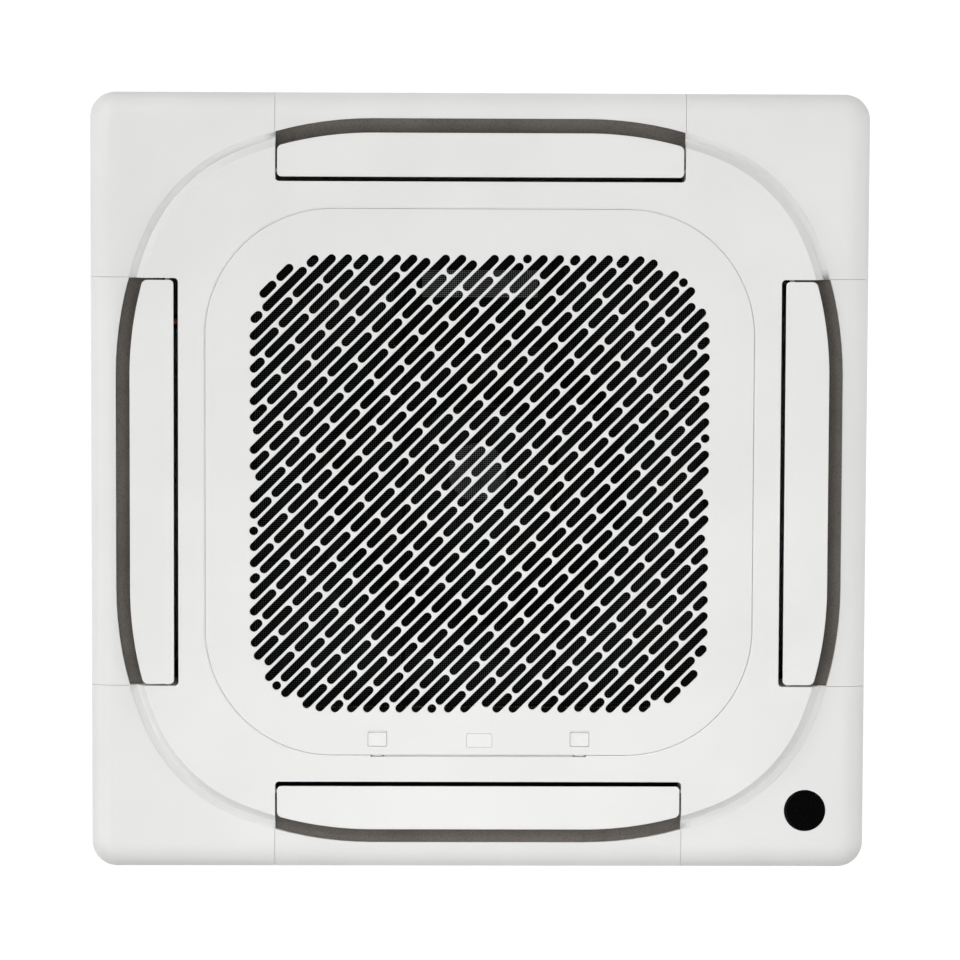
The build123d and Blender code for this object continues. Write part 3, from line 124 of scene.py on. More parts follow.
# ---------------------------------------------------------------- colours and the one node function
def linear(colour):
    """Linear RGBA of an sRGB hex colour: c/12.92 below 0.04045, else ((c+0.055)/1.055)^2.4."""
    c = np.array([int(colour[i:i + 2], 16) / 255 for i in (1, 3, 5)])
    low = c / 12.92
    high = ((c + 0.055) / 1.055) ** 2.4
    return (*np.where(c <= 0.04045, low, high).tolist(), 1.0)


def add_node(tree, kind, settings=None, links=None):
    """Add a node; settings name its properties or input sockets, links give {input: output socket}."""
    node = tree.nodes.new(kind)
    for key, value in (settings or {}).items():
        if isinstance(key, str) and hasattr(node, key):
            setattr(node, key, value)
        else:
            node.inputs[key].default_value = value
    for key, source in (links or {}).items():
        tree.links.new(source, node.inputs[key])
    return node


def new_material(name):
    """Empty node material and its tree, output node and Object coordinates."""
    material = bpy.data.materials.new(name)
    material.use_nodes = True
    tree = material.node_tree
    tree.nodes.clear()
    output = add_node(tree, "ShaderNodeOutputMaterial")
    place = add_node(tree, "ShaderNodeTexCoord").outputs["Object"]
    return material, tree, output, place


def two_tones(tree, factor, dark, light, low=0.35, high=0.65):
    """Colour ramp between two sRGB hex tones."""
    ramp = add_node(tree, "ShaderNodeValToRGB", links={"Fac": factor})
    ramp.color_ramp.elements[0].position = low
    ramp.color_ramp.elements[0].color = linear(dark)
    ramp.color_ramp.elements[1].position = high
    ramp.color_ramp.elements[1].color = linear(light)
    return ramp.outputs["Color"]


# ---------------------------------------------------------------- materials, each from what the real one is
def moulded_plastic(name, light, dark, roughness, grain_mm, depth_mm, ior=1.5, specular=0.5):
    """Injection-moulded thermoplastic. The tool's spark-eroded grain breaks up the gloss, and slow flow marks
    shift the tone a little over about 120 mm."""
    material, tree, output, place = new_material(name)
    flow = add_node(tree, "ShaderNodeTexNoise", {"Scale": 1000 / 120, "Detail": 2.0}, {"Vector": place})
    tone = two_tones(tree, flow.outputs["Fac"], dark, light)
    grain = add_node(tree, "ShaderNodeTexNoise", {"Scale": 1000 / grain_mm, "Detail": 3.0}, {"Vector": place})
    bump = add_node(
        tree, "ShaderNodeBump", {"Strength": 0.35, "Distance": depth_mm / 1000}, {"Height": grain.outputs["Fac"]}
    )
    sheen = add_node(
        tree, "ShaderNodeMapRange", {"To Min": roughness - 0.05, "To Max": roughness + 0.05},
        {"Value": flow.outputs["Fac"]},
    )
    shader = add_node(
        tree, "ShaderNodeBsdfPrincipled", {"IOR": ior, "Specular IOR Level": specular},
        {"Base Color": tone, "Roughness": sheen.outputs["Result"], "Normal": bump.outputs["Normal"]},
    )
    tree.links.new(shader.outputs["BSDF"], output.inputs["Surface"])
    return material


def smoked_acrylic(name):
    """Polished infrared-pass acrylic: near black, mirror smooth, with hairline rub marks that only gloss shows."""
    material, tree, output, place = new_material(name)
    stretch = add_node(tree, "ShaderNodeMapping", {"Scale": (8.0, 1.0, 1.0)}, {"Vector": place})
    rubs = add_node(
        tree, "ShaderNodeTexNoise", {"Scale": 1000 / 9, "Detail": 6.0}, {"Vector": stretch.outputs["Vector"]}
    )
    sheen = add_node(
        tree, "ShaderNodeMapRange", {"From Min": 0.4, "From Max": 0.8, "To Min": 0.06, "To Max": 0.2},
        {"Value": rubs.outputs["Fac"]},
    )
    depth = two_tones(tree, rubs.outputs["Fac"], "#020203", "#050506")
    shader = add_node(
        tree, "ShaderNodeBsdfPrincipled", {"IOR": 1.49, "Specular IOR Level": 0.05},
        {"Base Color": depth, "Roughness": sheen.outputs["Result"]},
    )
    tree.links.new(shader.outputs["BSDF"], output.inputs["Surface"])
    return material


def cell_foam(name, light, dark, cell_mm, depth_mm, roughness=0.9):
    """Foam with a cut or moulded face: round cells of one size, darker at their walls, and no gloss."""
    material, tree, output, place = new_material(name)
    cells = add_node(tree, "ShaderNodeTexVoronoi", {"Scale": 1000 / cell_mm}, {"Vector": place})
    patches = add_node(tree, "ShaderNodeTexNoise", {"Scale": 1000 / 60, "Detail": 3.0}, {"Vector": place})
    both = add_node(
        tree, "ShaderNodeMix", {"data_type": "FLOAT", "Factor": 0.5},
        {"A": cells.outputs["Distance"], "B": patches.outputs["Fac"]},
    )
    tone = two_tones(tree, both.outputs["Result"], light, dark, 0.3, 0.7)
    bump = add_node(
        tree, "ShaderNodeBump", {"Strength": 0.6, "Distance": depth_mm / 1000, "invert": True},
        {"Height": cells.outputs["Distance"]},
    )
    shader = add_node(
        tree, "ShaderNodeBsdfPrincipled", {"Roughness": roughness, "Specular IOR Level": 0.2},
        {"Base Color": tone, "Normal": bump.outputs["Normal"]},
    )
    tree.links.new(shader.outputs["BSDF"], output.inputs["Surface"])
    return material


def filter_mesh(name):
    """Woven polypropylene filter net. The real threads stand 1 mm apart; they are drawn 2.4 mm apart so that
    they show, with open squares between them."""
    material, tree, output, place = new_material(name)
    waves = []
    for direction in ("X", "Y"):
        wave = add_node(
            tree, "ShaderNodeTexWave",
            {"wave_type": "BANDS", "bands_direction": direction, "Scale": WAVE / 2.4},
            {"Vector": place},
        )
        waves.append(wave.outputs["Fac"])
    weave = add_node(tree, "ShaderNodeMath", {"operation": "MAXIMUM"}, {0: waves[0], 1: waves[1]})
    thread = add_node(tree, "ShaderNodeMath", {"operation": "GREATER_THAN", 1: 0.72}, {0: weave.outputs["Value"]})
    tone = two_tones(tree, weave.outputs["Value"], "#030303", "#080808", 0.6, 1.0)
    cord = add_node(
        tree, "ShaderNodeBsdfPrincipled", {"Roughness": 0.8, "Specular IOR Level": 0.0}, {"Base Color": tone}
    )
    hole = add_node(tree, "ShaderNodeBsdfTransparent", {"Color": (1, 1, 1, 1)})
    mixed = add_node(
        tree, "ShaderNodeMixShader",
        links={0: thread.outputs["Value"], 1: hole.outputs["BSDF"], 2: cord.outputs["BSDF"]},
    )
    tree.links.new(mixed.outputs["Shader"], output.inputs["Surface"])
    return material


def galvanised_sheet(name):
    """Hot-dip galvanised steel: zinc crystals of about 9 mm, each with its own grey and sheen."""
    material, tree, output, place = new_material(name)
    spangle = add_node(tree, "ShaderNodeTexVoronoi", {"Scale": 1000 / 9}, {"Vector": place})
    frost = add_node(tree, "ShaderNodeTexNoise", {"Scale": 1000 / 3, "Detail": 5.0}, {"Vector": place})
    both = add_node(
        tree, "ShaderNodeMix", {"data_type": "FLOAT", "Factor": 0.4},
        {"A": spangle.outputs["Color"], "B": frost.outputs["Fac"]},
    )
    tone = two_tones(tree, both.outputs["Result"], "#b0b4b6", "#c3c7c9", 0.25, 0.75)
    sheen = add_node(
        tree, "ShaderNodeMapRange", {"To Min": 0.5, "To Max": 0.62}, {"Value": both.outputs["Result"]}
    )
    shader = add_node(
        tree, "ShaderNodeBsdfPrincipled", {"Metallic": 0.45},
        {"Base Color": tone, "Roughness": sheen.outputs["Result"]},
    )
    tree.links.new(shader.outputs["BSDF"], output.inputs["Surface"])
    return material


def turned_metal(name, light, dark, roughness, lines_mm):
    """Machined or drawn metal: fine lines round the work, drawn coarser than the real tool marks, and tarnish."""
    material, tree, output, place = new_material(name)
    stretch = add_node(tree, "ShaderNodeMapping", {"Scale": (1.0, 0.1, 1.0)}, {"Vector": place})
    lines = add_node(
        tree, "ShaderNodeTexNoise", {"Scale": 1000 / lines_mm, "Detail": 4.0}, {"Vector": stretch.outputs["Vector"]}
    )
    tarnish = add_node(tree, "ShaderNodeTexNoise", {"Scale": 1000 / 25, "Detail": 4.0}, {"Vector": place})
    tone = two_tones(tree, tarnish.outputs["Fac"], dark, light)
    sheen = add_node(
        tree, "ShaderNodeMapRange", {"To Min": roughness - 0.08, "To Max": roughness + 0.1},
        {"Value": lines.outputs["Fac"]},
    )
    bump = add_node(tree, "ShaderNodeBump", {"Strength": 0.2, "Distance": 0.0001}, {"Height": lines.outputs["Fac"]})
    shader = add_node(
        tree, "ShaderNodeBsdfPrincipled", {"Metallic": 1.0},
        {"Base Color": tone, "Roughness": sheen.outputs["Result"], "Normal": bump.outputs["Normal"]},
    )
    tree.links.new(shader.outputs["BSDF"], output.inputs["Surface"])
    return material


def coil_fins(name):
    """Pressed aluminium fins 1.6 mm apart, drawn 3.2 mm apart so that they show: the light part of each band is the
    fins' aluminium and the dark part is painted shade in the gaps between them, with tube rows behind them.
    """
    material, tree, output, place = new_material(name)
    slanted = add_node(tree, "ShaderNodeMapping", {"Rotation": (0, 0, np.pi / 4)}, {"Vector": place})
    fins = add_node(
        tree, "ShaderNodeTexWave", {"wave_type": "BANDS", "bands_direction": "X", "Scale": WAVE / 3.2},
        {"Vector": slanted.outputs["Vector"]},
    )
    rows = add_node(
        tree, "ShaderNodeTexWave", {"wave_type": "BANDS", "bands_direction": "Z", "Scale": WAVE / 21},
        {"Vector": place},
    )
    both = add_node(
        tree, "ShaderNodeMix", {"data_type": "FLOAT", "Factor": 0.3},
        {"A": fins.outputs["Fac"], "B": rows.outputs["Fac"]},
    )
    # dark end of the ramp: painted shade in the gaps between the fins; light end: the fins' own aluminium
    tone = two_tones(tree, both.outputs["Result"], "#55595c", "#c9cdd0", 0.2, 0.8)
    bump = add_node(tree, "ShaderNodeBump", {"Strength": 0.8, "Distance": 0.001}, {"Height": fins.outputs["Fac"]})
    shader = add_node(
        tree, "ShaderNodeBsdfPrincipled", {"Metallic": 0.9, "Roughness": 0.4},
        {"Base Color": tone, "Normal": bump.outputs["Normal"]},
    )
    tree.links.new(shader.outputs["BSDF"], output.inputs["Surface"])
    return material


def circuit_laminate(name):
    """Glass-epoxy board with a green solder mask: copper tracks 2 mm wide show as a lighter green."""
    material, tree, output, place = new_material(name)
    tracks = add_node(
        tree, "ShaderNodeTexBrick",
        {"Scale": 1000 / 16, "Color1": linear("#0e4a23"), "Color2": linear("#12582b"), "Mortar": linear("#2c7a45"),
         "Mortar Size": 0.04, "Brick Width": 0.9, "Row Height": 0.35},
        {"Vector": place},
    )
    shader = add_node(
        tree, "ShaderNodeBsdfPrincipled", {"Roughness": 0.3, "Coat Weight": 0.4},
        {"Base Color": tracks.outputs["Color"]},
    )
    tree.links.new(shader.outputs["BSDF"], output.inputs["Surface"])
    return material


FINISHES = {
    "panel_abs": moulded_plastic("satin_white_abs", "#f2f2f1", "#efefee", 0.5, 0.9, 0.02),
    "grille_abs": moulded_plastic("satin_white_grille_abs", "#f1f1f0", "#eeeeed", 0.5, 0.9, 0.02),
    "latch_abs": moulded_plastic("white_latch_abs", "#f3f3f2", "#efefee", 0.42, 0.9, 0.015),
    "louver_abs": moulded_plastic("smooth_white_louver_abs", "#f3f3f2", "#f0f0ef", 0.42, 0.7, 0.012),
    "lens": smoked_acrylic("smoked_acrylic"),
    "dark_foam": cell_foam("grey_polyethylene_foam", "#7d7873", "#67625d", 1.6, 0.25),
    "filter_frame": moulded_plastic("black_polypropylene", "#0b0b0c", "#070708", 0.7, 0.6, 0.02, 1.5, 0.02),
    "filter_net": filter_mesh("woven_polypropylene"),
    "acetal": moulded_plastic("natural_acetal", "#e6e4da", "#dedcd1", 0.35, 0.5, 0.01, 1.48),
    "drive_case": moulded_plastic("drive_case_nylon", "#d9d8d2", "#cfcec8", 0.5, 0.6, 0.02),
    "steel": turned_metal("turned_steel", "#a8abad", "#7e8183", 0.35, 0.8),
    "galvanised": galvanised_sheet("galvanised_steel"),
    "lining_foam": cell_foam("black_lining_foam", "#26262a", "#17171a", 1.2, 0.2),
    "pan_foam": cell_foam("expanded_polystyrene", "#ededea", "#dcdcd8", 4.0, 0.15, 0.7),
    "fins": coil_fins("aluminium_fins"),
    "copper": turned_metal("drawn_copper", "#c9835f", "#8a5138", 0.3, 1.0),
    "brass": turned_metal("turned_brass", "#cfae62", "#9c7d3c", 0.3, 0.8),
    "fan_plastic": moulded_plastic("glass_filled_grey_moulding", "#5c5e61", "#4c4e51", 0.55, 0.8, 0.03),
    "hub_aluminium": turned_metal("cast_aluminium", "#b4b6b8", "#8f9194", 0.5, 1.2),
    "motor_paint": moulded_plastic("black_enamel", "#1b1b1d", "#131315", 0.3, 1.5, 0.02),
    "rubber": moulded_plastic("moulded_rubber", "#202022", "#161618", 0.75, 0.5, 0.03, 1.52),
    "pump_plastic": moulded_plastic("pump_abs", "#dddcd6", "#d2d1cb", 0.45, 0.8, 0.02),
    "pvc": moulded_plastic("grey_pvc", "#a4a8aa", "#93979a", 0.4, 0.6, 0.01, 1.53),
    "circuit_board": circuit_laminate("glass_epoxy_board"),
}


# ---------------------------------------------------------------- making pieces
def build_piece(name, points, faces, body, finish, stands_for=(), sharp=35.0, weighted=True):
    """Mesh piece from points in millimetres: doubles merged, normals outwards, smooth under the sharp angle."""
    mesh = bpy.data.meshes.new(name)
    mesh.from_pydata((np.asarray(points, float) / 1000).tolist(), [], faces)
    work = bmesh.new()
    work.from_mesh(mesh)
    bmesh.ops.remove_doubles(work, verts=work.verts, dist=MERGE)
    bmesh.ops.recalc_face_normals(work, faces=work.faces)
    work.to_mesh(mesh)
    work.free()
    return dress(mesh, name, body, finish, stands_for, sharp, weighted)


def dress(mesh, name, body, finish, stands_for, sharp, weighted):
    """Object for a finished mesh, with its material, shading and body; the CAD nodes that it stands for are hidden."""
    mesh.polygons.foreach_set("use_smooth", np.ones(len(mesh.polygons), bool))
    mesh.set_sharp_from_angle(angle=np.radians(sharp))
    piece = bpy.data.objects.new(name, mesh)
    bpy.context.scene.collection.objects.link(piece)
    mesh.materials.clear()
    mesh.materials.append(FINISHES[finish])
    if weighted:
        even = piece.modifiers.new("even_normals", "WEIGHTED_NORMAL")
        even.keep_sharp = True
    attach(piece, body)
    if stands_for:
        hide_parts(*stands_for)
    return piece


def section_solid(sections, closed=False):
    """Closed loops of equal count, one after another, joined by quads; the ends are capped unless it closes."""
    count, around = sections.shape[:2]
    points = sections.reshape(-1, 3)
    rows = np.arange(count if closed else count - 1)[:, None]
    columns = np.arange(around)[None, :]
    following = (rows + 1) % count
    beside = (columns + 1) % around
    quads = np.stack(
        [rows * around + columns, following * around + columns, following * around + beside, rows * around + beside],
        axis=-1,
    ).reshape(-1, 4)
    faces = quads.tolist()
    if not closed:
        faces.append(list(range(around)))
        faces.append(list(range((count - 1) * around, count * around)))
    return points, faces


def joined(parts):
    """Several (points, faces) lists as one."""
    points = []
    faces = []
    start = 0
    for part_points, part_faces in parts:
        points.append(np.asarray(part_points, float))
        faces.extend([[start + k for k in face] for face in part_faces])
        start += len(part_points)
    return np.concatenate(points), faces


def prism(outline, along, start, end):
    """Straight prism: a closed 2-D outline in the plane across axis along (0, 1 or 2), from start to end."""
    outline = np.asarray(outline, float)
    sections = np.zeros((2, len(outline), 3))
    others = [k for k in range(3) if k != along]
    sections[:, :, others[0]] = outline[:, 0]
    sections[:, :, others[1]] = outline[:, 1]
    sections[0, :, along] = start
    sections[1, :, along] = end
    return section_solid(sections)


def lathe(profile, count):
    """Solid turned about +X from (distance along X, radius) points; the first and last lie close to the axis."""
    profile = np.asarray(profile, float)
    turn = np.linspace(0, 2 * np.pi, count, endpoint=False)
    rings = np.stack([
        np.tile(profile[:, 0], (count, 1)),
        profile[None, :, 1] * np.cos(turn)[:, None],
        profile[None, :, 1] * np.sin(turn)[:, None],
    ], axis=-1)
    return section_solid(rings, closed=True)


def hexagons(levels):
    """Hexagon bar along +X from (distance along X, radius over the corners) levels."""
    a = np.radians(np.arange(0, 360, 60))
    sections = [np.stack([np.full(6, x), r * np.cos(a), r * np.sin(a)], axis=-1) for x, r in levels]
    return section_solid(np.stack(sections))


def at_height(loop, z):
    """A plan outline as points at height z."""
    return np.c_[loop, np.full(len(loop), z)]


def box_outline(x0, x1, y0, y1):
    """Rectangle as four corners."""
    return [(x0, y0), (x1, y0), (x1, y1), (x0, y1)]


def circle_outline(x, y, radius, count):
    """Circle: centre plus radius times (cos, sin) of equal turns."""
    turn = np.linspace(0, 2 * np.pi, count, endpoint=False)
    return np.stack([x + radius * np.cos(turn), y + radius * np.sin(turn)], axis=-1)


def turned(points, degrees):
    """Points turned about Z."""
    a = np.radians(degrees)
    matrix = np.array([[np.cos(a), -np.sin(a), 0], [np.sin(a), np.cos(a), 0], [0, 0, 1]])
    return np.asarray(points) @ matrix.T


# ---------------------------------------------------------------- outlines
def soft_quarter(inset, count=240):
    """Quarter of the soft square, (0, half) to (half, 0): straight, wide arc, corner arc, wide arc, straight.
    The arcs are centre plus radius times (cos, sin), and the corner arc touches both wide arcs."""
    half = GROOVE_HALF - inset
    side_r = GROOVE_SIDE_R - inset
    corner_r = GROOVE_CORNER_R - inset
    drop = half - side_r
    apart = GROOVE_SIDE_R - GROOVE_CORNER_R
    total = GROOVE_STRAIGHT + drop
    spread = GROOVE_STRAIGHT**2 + drop**2 - apart**2
    centre = (total + np.sqrt(total**2 - 2 * spread)) / 2
    turn = np.arctan2(centre - drop, centre - GROOVE_STRAIGHT)
    wide = np.linspace(np.pi / 2, turn, count)
    corner = np.linspace(turn, np.pi / 2 - turn, count)
    x = np.concatenate([[0], GROOVE_STRAIGHT + side_r * np.cos(wide), centre + corner_r * np.cos(corner)])
    y = np.concatenate([[half], drop + side_r * np.sin(wide), centre + corner_r * np.sin(corner)])
    first = np.stack([x, y], axis=-1)
    middle = len(first) - count // 2
    half_way = first[:middle]
    return np.concatenate([half_way, half_way[::-1, ::-1]])


def soft_reach(x, inset):
    """Height y of the soft square over x, read between the points of its quarter."""
    quarter = soft_quarter(inset)
    upper = quarter[: len(quarter) // 2]
    return np.interp(np.abs(x), upper[:, 0], upper[:, 1])


def rounded_square(half, radius, per_corner):
    """Square with round corners, anticlockwise from the right side's top."""
    turns = np.linspace(0, np.pi / 2, per_corner)
    corner = np.stack([half - radius + radius * np.cos(turns), half - radius + radius * np.sin(turns)], axis=-1)
    quarters = [turned(np.c_[corner, np.zeros(per_corner)], 90 * k)[:, :2] for k in range(4)]
    return np.concatenate(quarters)


def rounded_box(x, y, wide, deep, radius, per_corner=7):
    """Rectangle with round corners about (x, y)."""
    turns = np.linspace(0, np.pi / 2, per_corner)
    signs = ((1, 1, 0), (-1, 1, 1), (-1, -1, 2), (1, -1, 3))
    points = []
    for sx, sy, k in signs:
        a = turns + k * np.pi / 2
        points.append(
            np.stack(
                [x + sx * (wide / 2 - radius) + radius * np.cos(a), y + sy * (deep / 2 - radius) + radius * np.sin(a)],
                axis=-1,
            )
        )
    return np.concatenate(points)


# ---------------------------------------------------------------- panel frame
def softened_panel():
    """The panel moulding with its edges rounded: the CAD shape is merged and its flats are joined, and the level
    edges at the heights of the face, the rim and the groove are bevelled where they turn by half a radian."""
    same_height = 2e-4
    work = bmesh.new()
    work.from_mesh(nodes["panel_frame"].data)
    bmesh.ops.remove_doubles(work, verts=work.verts, dist=MERGE)
    bmesh.ops.dissolve_limit(work, angle_limit=0.01, verts=work.verts, edges=work.edges)
    levels = np.array([FACE_Z, RIM_Z, GROOVE_Z]) / 1000
    chosen = []
    for edge in work.edges:
        if len(edge.link_faces) != 2 or edge.calc_face_angle(0) < 0.5:
            continue
        first, second = (end.co.z for end in edge.verts)
        if np.abs(levels - (first + second) / 2).min() < same_height and abs(first - second) < same_height:
            chosen.append(edge)
    bmesh.ops.bevel(
        work, geom=chosen, offset=EDGE_ROUND / 1000, offset_type="OFFSET", segments=3, profile=0.5, affect="EDGES",
        clamp_overlap=True,
    )
    mesh = bpy.data.meshes.new("panel_moulding")
    work.to_mesh(mesh)
    work.free()
    return dress(mesh, "panel_moulding", "unit", "panel_abs", ("panel_frame",), 40.0, True)


# ---------------------------------------------------------------- corner covers
def dome_profile(count):
    """The rim's dome: distance out from the flat and height, along a circle that is level where it starts."""
    rise = RIM_EDGE_Z - RIM_Z
    radius = (DOME_WIDTH**2 + rise**2) / (2 * rise)
    a = np.linspace(0, np.arcsin(DOME_WIDTH / radius), count)
    return radius * np.sin(a), RIM_Z + radius * (1 - np.cos(a))


def cover_sections():
    """Sections of the +X +Y corner cover. Each runs from the groove's curve out over the dome, up the edge, and
    back along the inside; the flat's outer line is two straights and a small arc, and sections stand square to it."""
    flat = PANEL_HALF - DOME_WIDTH
    corner = PANEL_CORNER - DOME_WIDTH
    bend = PANEL_HALF - PANEL_CORNER
    count = 26
    straight = np.linspace(COVER_START, bend, count)
    turns = np.linspace(np.pi / 2, 0, 17)[1:-1]
    around = np.stack([np.cos(turns), np.sin(turns)], axis=-1)
    along = np.concatenate([
        np.stack([straight, np.full(count, flat)], axis=-1),
        bend + corner * around,
        np.stack([np.full(count, flat), straight[::-1]], axis=-1),
    ])
    normal = np.concatenate([np.tile([0.0, 1.0], (count, 1)), around, np.tile([1.0, 0.0], (count, 1))])
    # the groove's curve between the cover's two ends, in equal steps by length
    near = float(soft_reach(COVER_START, 0))
    quarter = soft_quarter(0)
    between = quarter[(quarter[:, 0] > COVER_START) & (quarter[:, 1] > COVER_START)]
    arc = np.concatenate([[[COVER_START, near]], between, [[near, COVER_START]]])
    lengths = np.concatenate([[0], np.cumsum(np.linalg.norm(np.diff(arc, axis=0), axis=1))])
    wanted = np.linspace(0, lengths[-1], len(along))
    inner = np.stack([np.interp(wanted, lengths, arc[:, k]) for k in (0, 1)], axis=-1)
    towards = along - inner
    towards = towards / np.linalg.norm(towards, axis=1)[:, None]
    out, height = dome_profile(9)
    edge = 0.5  # rounding along the groove
    ring = [(inner, RIM_Z + edge), (inner + towards * 0.3 * edge, RIM_Z + 0.3 * edge), (inner + towards * edge, RIM_Z)]
    ring += [(inner + (along - inner) * mix, RIM_Z) for mix in np.linspace(0, 1, 7)[1:-1]]
    ring += [(along + normal * reach, level) for reach, level in zip(out, height)]
    ring += [(along + normal * DOME_WIDTH, CEILING_Z), (along + normal * (DOME_WIDTH - SKIN), CEILING_Z)]
    for reach, level in zip(out[::-2], height[::-2]):
        inside = normal * reach * (DOME_WIDTH - SKIN) / DOME_WIDTH
        ring.append((along + inside, level + SKIN * (1 - 0.5 * reach / DOME_WIDTH)))
    ring.append((inner, RIM_Z + SKIN))
    return np.stack([at_height(plan, level) for plan, level in ring], axis=1)


def bored(piece, points, faces):
    """Cut a closed solid out of a piece's mesh."""
    cutter = bpy.data.objects.new("cutter", bpy.data.meshes.new("cutter"))
    cutter.data.from_pydata((np.asarray(points, float) / 1000).tolist(), [], faces)
    bpy.context.scene.collection.objects.link(cutter)
    cutting = piece.modifiers.new("bore", "BOOLEAN")
    cutting.operation = "DIFFERENCE"
    cutting.object = cutter
    bpy.context.view_layer.update()
    result = bpy.data.meshes.new_from_object(piece.evaluated_get(bpy.context.evaluated_depsgraph_get()))
    piece.modifiers.remove(cutting)
    piece.data = result
    bpy.data.objects.remove(cutter)


def corner_covers():
    """Four snap-on covers with their clip posts, 12 mm square. The one on the +X +Y corner is bored for the receiver
    lens and a pinhole, and has two clips, 3 x 8 mm, that hold the lens."""
    shell = section_solid(cover_sections())
    posts = [
        prism(box_outline(x - 6, x + 6, y - 6, y + 6), 2, RIM_Z + 1.2 * SKIN, CEILING_Z - SKIN)
        for x, y in ((POST_AT, POST_SIDE), (POST_SIDE, POST_AT))
    ]
    lens_x, lens_y = WINDOW_AT
    clips = [
        prism(box_outline(x - 1.5, x + 1.5, lens_y - 4, lens_y + 4), 2, RIM_Z + SKIN / 2, RIM_Z + 10)
        for x in (lens_x - WINDOW_R - 3, lens_x + WINDOW_R + 3)
    ]
    for name, turn in CORNERS.items():
        parts = [shell] + posts
        if name == "right_latch":
            parts += clips
        points, faces = joined(parts)
        build_piece(
            f"cover_{name}", turned(points, turn), faces, "unit", "panel_abs", (f"corner_cover_{name}",), 32.0
        )
    through = (2, RIM_Z - 2, RIM_Z + SKIN + 0.5)
    bore = prism(circle_outline(*WINDOW_AT, WINDOW_R + WINDOW_PLAY, 96), *through)
    pinhole = prism(circle_outline(*PINHOLE_AT, PINHOLE_R, 16), *through)
    bored(bpy.data.objects["cover_right_latch"], *joined([bore, pinhole]))


# ---------------------------------------------------------------- louvers
def louver_sections():
    """Blade sections along X. Inner and outer edges close in by quarter circles of 5 mm at the ends, and every
    section's own corners are quarter circles of 1 mm."""
    corner = 5.0
    run = LOUVER_HALF - corner
    close = run + corner * np.sin(np.radians(np.linspace(0, 90, 8)))
    x = np.concatenate([-close[::-1], np.linspace(-run, run, 61)[1:-1], close])
    pull = corner - np.sqrt(np.clip(corner**2 - np.clip(np.abs(x) - run, 0, corner) ** 2, 0, None))
    inner = LOUVER_INNER + pull
    outer = soft_reach(x, GROOVE_WIDTH) - pull
    turn = np.radians([0, 30, 60, 90])
    off = 1 - np.sin(turn)
    low = FACE_Z + 1 - np.cos(turn)
    top = FACE_Z + LOUVER_THICK - 1 + np.cos(turn)
    ring = [(outer - step, z) for step, z in zip(off, low)]
    ring += [(outer - step, z) for step, z in zip(off[::-1], top[::-1])]
    ring += [(inner + step, z) for step, z in zip(off, top)]
    ring += [(inner + step, z) for step, z in zip(off[::-1], low[::-1])]
    return np.stack([np.stack([x, y, np.full(len(x), z)], axis=-1) for y, z in ring], axis=1)


def louvers():
    """Four louvers: blade, cheeks and ribs of 3 mm up to the spine, the 8 mm spine bar and 6 mm pivot pins. The pin
    on the motor's side is the longer one."""
    parts = [section_solid(louver_sections())]
    top = FACE_Z + LOUVER_THICK - 0.5
    for at in LOUVER_RIBS:
        rib = [
            (LOUVER_AXIS - 6, top), (LOUVER_AXIS + 24, top), (LOUVER_AXIS + 14, LOUVER_AXIS_Z),
            (LOUVER_AXIS + 5, LOUVER_AXIS_Z + 5), (LOUVER_AXIS - 5, LOUVER_AXIS_Z + 5),
        ]
        parts.append(prism(rib, 0, at - 1.5, at + 1.5))
    spine = rounded_box(LOUVER_AXIS, LOUVER_AXIS_Z, 8, 8, 1.2, 4)
    parts.append(prism(spine, 0, 0.1 - LOUVER_CHEEK, LOUVER_CHEEK - 0.1))
    pin = circle_outline(LOUVER_AXIS, LOUVER_AXIS_Z, 3.0, 24)
    parts.append(prism(pin, 0, -LOUVER_CHEEK - 7.5, 0.5 - LOUVER_CHEEK))
    parts.append(prism(pin, 0, LOUVER_CHEEK - 0.5, LOUVER_CHEEK + 15.5))
    points, faces = joined(parts)
    for name, turn in SIDES.items():
        build_piece(
            f"flap_{name}", turned(points, turn), faces, f"louver_{name}_flap", "louver_abs", (f"louver_{name}",), 40.0
        )


# ---------------------------------------------------------------- intake grille
def row_reach(across):
    """Half the length of the 45-degree row that lies across away from the field's centre, to its round outline."""
    half = LATTICE_HALF - SLOT_WIDTH / 2
    ahead = ROW_CORNER - SLOT_WIDTH / 2
    beside = SIDE_CORNER - SLOT_WIDTH / 2
    centre = (half - beside) * np.sqrt(2)
    across = np.abs(across)
    near = (half - ahead) * np.sqrt(2) + np.sqrt(np.clip(ahead**2 - across**2, 0, None))
    side = half * np.sqrt(2) - across
    far = np.sqrt(np.clip(beside**2 - (across - centre) ** 2, 0, None))
    return np.where(across <= ahead / np.sqrt(2), near, np.where(across <= centre + beside / np.sqrt(2), side, far))


def slot_lines():
    """Centre line of every slot as (across, start, end): staggered rows, cut off at the field's round outline.
    Slots that the outline leaves next to nothing of end as dots."""
    straight = (SLOT_LENGTH - SLOT_WIDTH) / 2
    farthest = (LATTICE_HALF - SIDE_CORNER) * np.sqrt(2) + SIDE_CORNER - SLOT_WIDTH / 2
    last = int(farthest / ROW_PITCH)
    most = 7  # slots on either side of a row's middle, more than the field holds
    rows, steps = np.meshgrid(np.arange(-last, last + 1), np.arange(-most, most + 1), indexing="ij")
    across = rows * ROW_PITCH
    middle = steps * SLOT_PITCH + np.where(rows % 2 == 1, SLOT_PITCH / 2, 0.0)
    reach = row_reach(across)
    start = np.maximum(middle - straight, -reach)
    end = np.minimum(middle + straight, reach)
    keep = end - start > -SLOT_LEAST
    grow = np.clip(SLOT_LEAST - (end - start), 0, None) / 2
    return across[keep], (start - grow)[keep], (end + grow)[keep]


